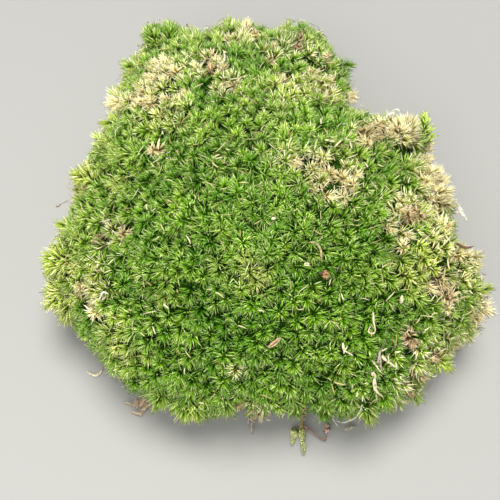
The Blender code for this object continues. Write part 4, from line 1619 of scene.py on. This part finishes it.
def curve_through(points, steps=6):
    """Places along a smooth curve through points that are pixels with a height."""
    rows = np.array([at_height(*point) for point in (points[0], *points, points[-1])])
    shares = np.arange(steps)[:, None] / steps
    stretches = []
    for before, start, end, after in zip(rows, rows[1:], rows[2:], rows[3:]):
        slope = end - before
        fall = 2 * before - 5 * start + 4 * end - after
        rest = 3 * start - before - 3 * end + after
        stretches.append(0.5 * (2 * start + slope * shares + fall * shares**2 + rest * shares**3))
    return [Vector(row) for row in (*np.concatenate(stretches), rows[-1])]


def add_limb(work, path, widths, thickness, hollow, sides=12):
    """Adds a closed limb along a path to a mesh in the making. Its upper side may be hollowed."""
    along_layer = work.verts.layers.float["along"]
    hollow_layer = work.verts.layers.float["hollow"]
    shares = np.linspace(0, 1, len(path))
    breadths = np.interp(shares, np.linspace(0, 1, len(widths)), widths) * MM
    rings = []
    for number, (spot, breadth) in enumerate(zip(path, breadths)):
        ahead = (path[min(number + 1, len(path) - 1)] - path[max(number - 1, 0)]).normalized()
        side = ahead.cross(UP).normalized()
        lift = side.cross(ahead)
        ring = []
        for corner in range(sides):
            turn = math.tau * corner / sides
            rise = math.sin(turn) * thickness
            inside = rise > 0.95 * thickness and hollow > 0
            if rise > 0:
                rise *= 1 - hollow * math.sin(turn)
            made = work.verts.new(spot + (side * math.cos(turn) + lift * rise) * (breadth / 2))
            made[along_layer] = shares[number]
            # Corners inside the hollow carry the mask of its painted shade.
            made[hollow_layer] = inside * min(hollow / 1.6, 1)
            ring.append(made)
        rings.append(ring)
    for first, second in zip(rings[:-1], rings[1:]):
        for corner in range(sides):
            after = (corner + 1) % sides
            work.faces.new((first[corner], first[after], second[after], second[corner]))
    work.faces.new(rings[0])
    work.faces.new(rings[-1])


class MOSS_OT_litter(bpy.types.Operator):
    """Finishes the straws, scales and seeds"""

    bl_idname = "moss.dress_litter"
    bl_label = "Dress litter"

    def execute(self, context):
        settings = settings_of(context).litter
        materials = {}
        for tint in (*LITTER_TINTS, *(piece.tint for piece in REMADE.values())):
            if tint not in materials:
                materials[tint] = dry_material(f"dry_{tint}", getattr(settings, tint), tint in BLOTCHED)
        for tint, names in LITTER_TINTS.items():
            for name in names:
                self.dress(name, tint, materials[tint])
        chance = random.Random(LITTER_DRAWS)
        for name, piece in REMADE.items():
            self.remake(name, piece, materials[piece.tint], chance)
        return {"FINISHED"}

    def dress(self, name, slot, material):
        """A rounder, rougher copy of one piece of litter."""
        helper = merged_copy(name)
        rounding = helper.modifiers.new("Rounding", "SUBSURF")
        rounding.levels = rounding.render_levels = 2
        mesh = evaluated(helper, f"{name}_dried")
        rows = coordinates(mesh)
        middle = rows.mean(0)
        axis = np.linalg.svd(rows - middle, full_matrices=False)[2][0]
        along = (rows - middle) @ axis
        set_attribute(mesh, "along", (along - along.min()) / np.ptp(along))
        self.finish(mesh, f"{name}_dried", slot, material, [name], DRIED_CRUMPLE)

    def remake(self, name, piece, material, chance):
        """A piece of litter shaped limb by limb."""
        work = bmesh.new()
        for layer in ("along", "hollow"):
            work.verts.layers.float.new(layer)
        for points, widths, thickness in piece.limbs:
            add_limb(work, curve_through(points), widths, thickness, piece.hollow)
        if name == "withered_scrap":
            for _ in range(SCRAP_FIBRES):
                add_limb(work, curve_through(self.fibre(chance), 3), (0.2, 0.35, 0.3, 0.12), 0.7, 0.0, 5)
        bmesh.ops.recalc_face_normals(work, faces=work.faces)
        mesh = bpy.data.meshes.new(name)
        work.to_mesh(mesh)
        work.free()
        keep_off_ground(mesh)
        self.finish(mesh, name, piece.slot, material, piece.nodes, piece.crumple)

    def fibre(self, chance):
        """Three points of a fibre that hangs out of the withered scrap."""
        start = (chance.uniform(136, 150), chance.uniform(396, 400), chance.uniform(3.0, 5.5))
        end = (start[0] - chance.uniform(-2, 7), chance.uniform(404, 411), 1.0)
        sag = [(first + second) / 2 + chance.uniform(-1.5, 1.5) for first, second in zip(start, end)]
        return start, (sag[0], sag[1], max(sag[2], 1.0)), end

    def finish(self, mesh, name, slot, material, nodes, crumple):
        """Ruffles a piece of litter and gives it its finish."""
        rows = coordinates(mesh)
        ruffle = wander(rows, LITTER_RUFFLES)
        set_coordinates(mesh, rows + normals_of(mesh) * (ruffle * crumple * MM)[:, None])
        mesh.shade_smooth()
        mesh.materials.append(material)
        finish_piece(mesh, name, slot, nodes)


# The feather moss sprig, from the clump outwards: its points as above, then the length and the
# width of its leaves at its two ends, in mm.
SPRIG = {
    "sprig_stem": (
        ((303.4, 407, 13), (303.6, 415, 9), (301.9, 421, 5), (300.8, 428, 2.0)),
        (2.2, 1.6), (1.3, 1.0),
    ),
    "sprig_branch_left": (
        ((298.6, 429.5, 1.9), (296.0, 431.5, 1.7), (293.8, 436.0, 1.3), (292.3, 443.5, 0.9)),
        (3.2, 1.0), (1.8, 0.5),
    ),
    "sprig_branch_right": (
        ((300.8, 428, 2.0), (301.5, 434, 1.6), (302.2, 441, 1.3), (303.2, 450.5, 0.9)),
        (2.0, 1.8), (1.1, 0.9),
    ),
}
SPRIG_LEAVES = 34  # on each of its limbs


class MOSS_OT_sprig(bpy.types.Operator):
    """Covers the feather moss sprig with scale leaves"""

    bl_idname = "moss.dress_sprig"
    bl_label = "Dress sprig"

    def execute(self, context):
        settings = settings_of(context).litter
        chance = random.Random(SPRIG_DRAWS)
        green = sprig_material("feather_moss_leaf", settings.sprig)
        brown = sprig_material("feather_moss_stem", settings.sprig_stem)
        for name, (points, lengths, widths) in SPRIG.items():
            mesh = self.scaly(name, curve_through(points, 8), lengths, widths, chance)
            mesh.materials.append(brown if name == "sprig_stem" else green)
            finish_growth(mesh, f"{name}_leaves", "feather_moss", name)
        return {"FINISHED"}

    def scaly(self, name, path, lengths, widths, chance):
        """Overlapping leaves along a path, to the left, to the right and on top in turn."""
        corners, tones = [], []
        for number in range(SPRIG_LEAVES):
            way = number / (SPRIG_LEAVES - 1)
            first = min(int(way * (len(path) - 1)), len(path) - 2)
            spot = path[first].lerp(path[first + 1], way * (len(path) - 1) - first)
            forward = (path[first + 1] - path[first]).normalized()
            side = forward.cross(UP).normalized()
            lift = side.cross(forward)
            turn = (-1, 1, 0)[number % 3] * chance.uniform(0.45, 0.8) * (1 - way * 0.5)
            turn += chance.gauss(0, 0.12)
            ahead = forward * math.cos(turn) + side * math.sin(turn) + lift * chance.uniform(0.0, 0.3)
            ahead.normalize()
            back = (lift - ahead * lift.dot(ahead)).normalized()
            reach = between(*lengths, way) * chance.uniform(0.85, 1.1) * MM
            width = between(*widths, way) * chance.uniform(0.85, 1.1) * MM
            add_leaf(corners, spot, ahead, back, reach, width, chance.uniform(-0.25, -0.05))
            tones.append(chance.random())
        return joined_mesh(name, LEAF, corners, leaf_tone=tones)


class MOSS_OT_stage(bpy.types.Operator):
    """Sets the floor, the lights and the camera"""

    bl_idname = "moss.set_stage"
    bl_label = "Set stage"

    def execute(self, context):
        settings = settings_of(context).stage
        self.add_floor(settings)
        key = self.add_light("key_light", "SUN", KEY_PLACE, settings.key)
        key.angle = KEY_SPREAD
        fill = self.add_light("fill_light", "AREA", FILL_PLACE, settings.fill)
        fill.shape = "DISK"
        fill.size = FILL_SIZE
        self.add_sky(settings)
        self.add_camera(context)
        context.scene.view_settings.view_transform = "Standard"
        return {"FINISHED"}

    def add_floor(self, settings):
        """A wide round floor."""
        mesh = bpy.data.meshes.new("floor")
        disk = {"cap_ends": True, "segments": FLOOR_SIDES, "radius": FLOOR_RADIUS}
        edit(mesh, lambda work: bmesh.ops.create_circle(work, **disk))
        mesh.materials.append(floor_material(settings.floor))
        add_object("floor", mesh)

    def add_light(self, name, kind, place, power):
        """A light that stands at a place and shines on the origin."""
        light = bpy.data.lights.new(name, kind)
        light.energy = power
        light.color = LAMP_COLOUR
        lamp = bpy.data.objects.new(name, light)
        lamp.location = place
        lamp.rotation_euler = (-Vector(place)).to_track_quat("-Z", "Y").to_euler()
        bpy.context.scene.collection.objects.link(lamp)
        return light

    def add_sky(self, settings):
        """Soft light from all round."""
        world = bpy.data.worlds.new("studio")
        world.use_nodes = True
        background = world.node_tree.nodes["Background"]
        background.inputs["Color"].default_value = SKY_COLOUR
        background.inputs["Strength"].default_value = settings.sky
        bpy.context.scene.world = world

    def add_camera(self, context):
        """A camera where the photograph was taken."""
        start, _ = sight((PHOTO_SIDE / 2, PHOTO_SIDE / 2))
        lens = bpy.data.cameras.new("photo_camera")
        lens.lens = LENS
        lens.sensor_width = SENSOR
        lens.clip_start = 0.01
        camera = bpy.data.objects.new("photo_camera", lens)
        camera.location = start
        camera.rotation_euler = (math.pi / 2 - CAMERA_ELEVATION, 0, 0)
        context.scene.collection.objects.link(camera)
        context.scene.camera = camera


OPERATORS = (
    MOSS_OT_stage, MOSS_OT_shoots, MOSS_OT_standing, MOSS_OT_thatch, MOSS_OT_fibres, MOSS_OT_bits,
    MOSS_OT_sprig, MOSS_OT_litter,
)


class VIEW3D_PT_moss_clump(bpy.types.Panel):
    """The clump's settings and its makers."""

    bl_label = "Moss clump"
    bl_idname = "VIEW3D_PT_moss_clump"
    bl_space_type = "VIEW_3D"
    bl_region_type = "UI"
    bl_category = "Moss"

    def draw(self, context):
        settings = settings_of(context)
        groups = (settings.shoots, settings.thatch, settings.bits, settings.litter, settings.stage)
        for group in groups:
            box = self.layout.box()
            for name in group.__annotations__:
                box.prop(group, name)
        for operator in OPERATORS:
            self.layout.operator(operator.bl_idname)


CLASSES = (
    ShootSettings, ThatchSettings, BitSettings, LitterSettings, StageSettings, MossClumpSettings,
    *OPERATORS, VIEW3D_PT_moss_clump,
)


def register():
    for one in CLASSES:
        bpy.utils.register_class(one)
    bpy.types.Scene.moss_clump = PointerProperty(type=MossClumpSettings)


def unregister():
    del bpy.types.Scene.moss_clump
    for one in reversed(CLASSES):
        bpy.utils.unregister_class(one)


def main():
    register()
    bpy.ops.moss.set_stage()
    bpy.ops.moss.grow_shoots()
    bpy.ops.moss.stand_shoots()
    bpy.ops.moss.lay_thatch()
    bpy.ops.moss.hang_fibres()
    bpy.ops.moss.scatter_bits()
    bpy.ops.moss.dress_sprig()
    bpy.ops.moss.dress_litter()


if __name__ == "__main__":
    main()
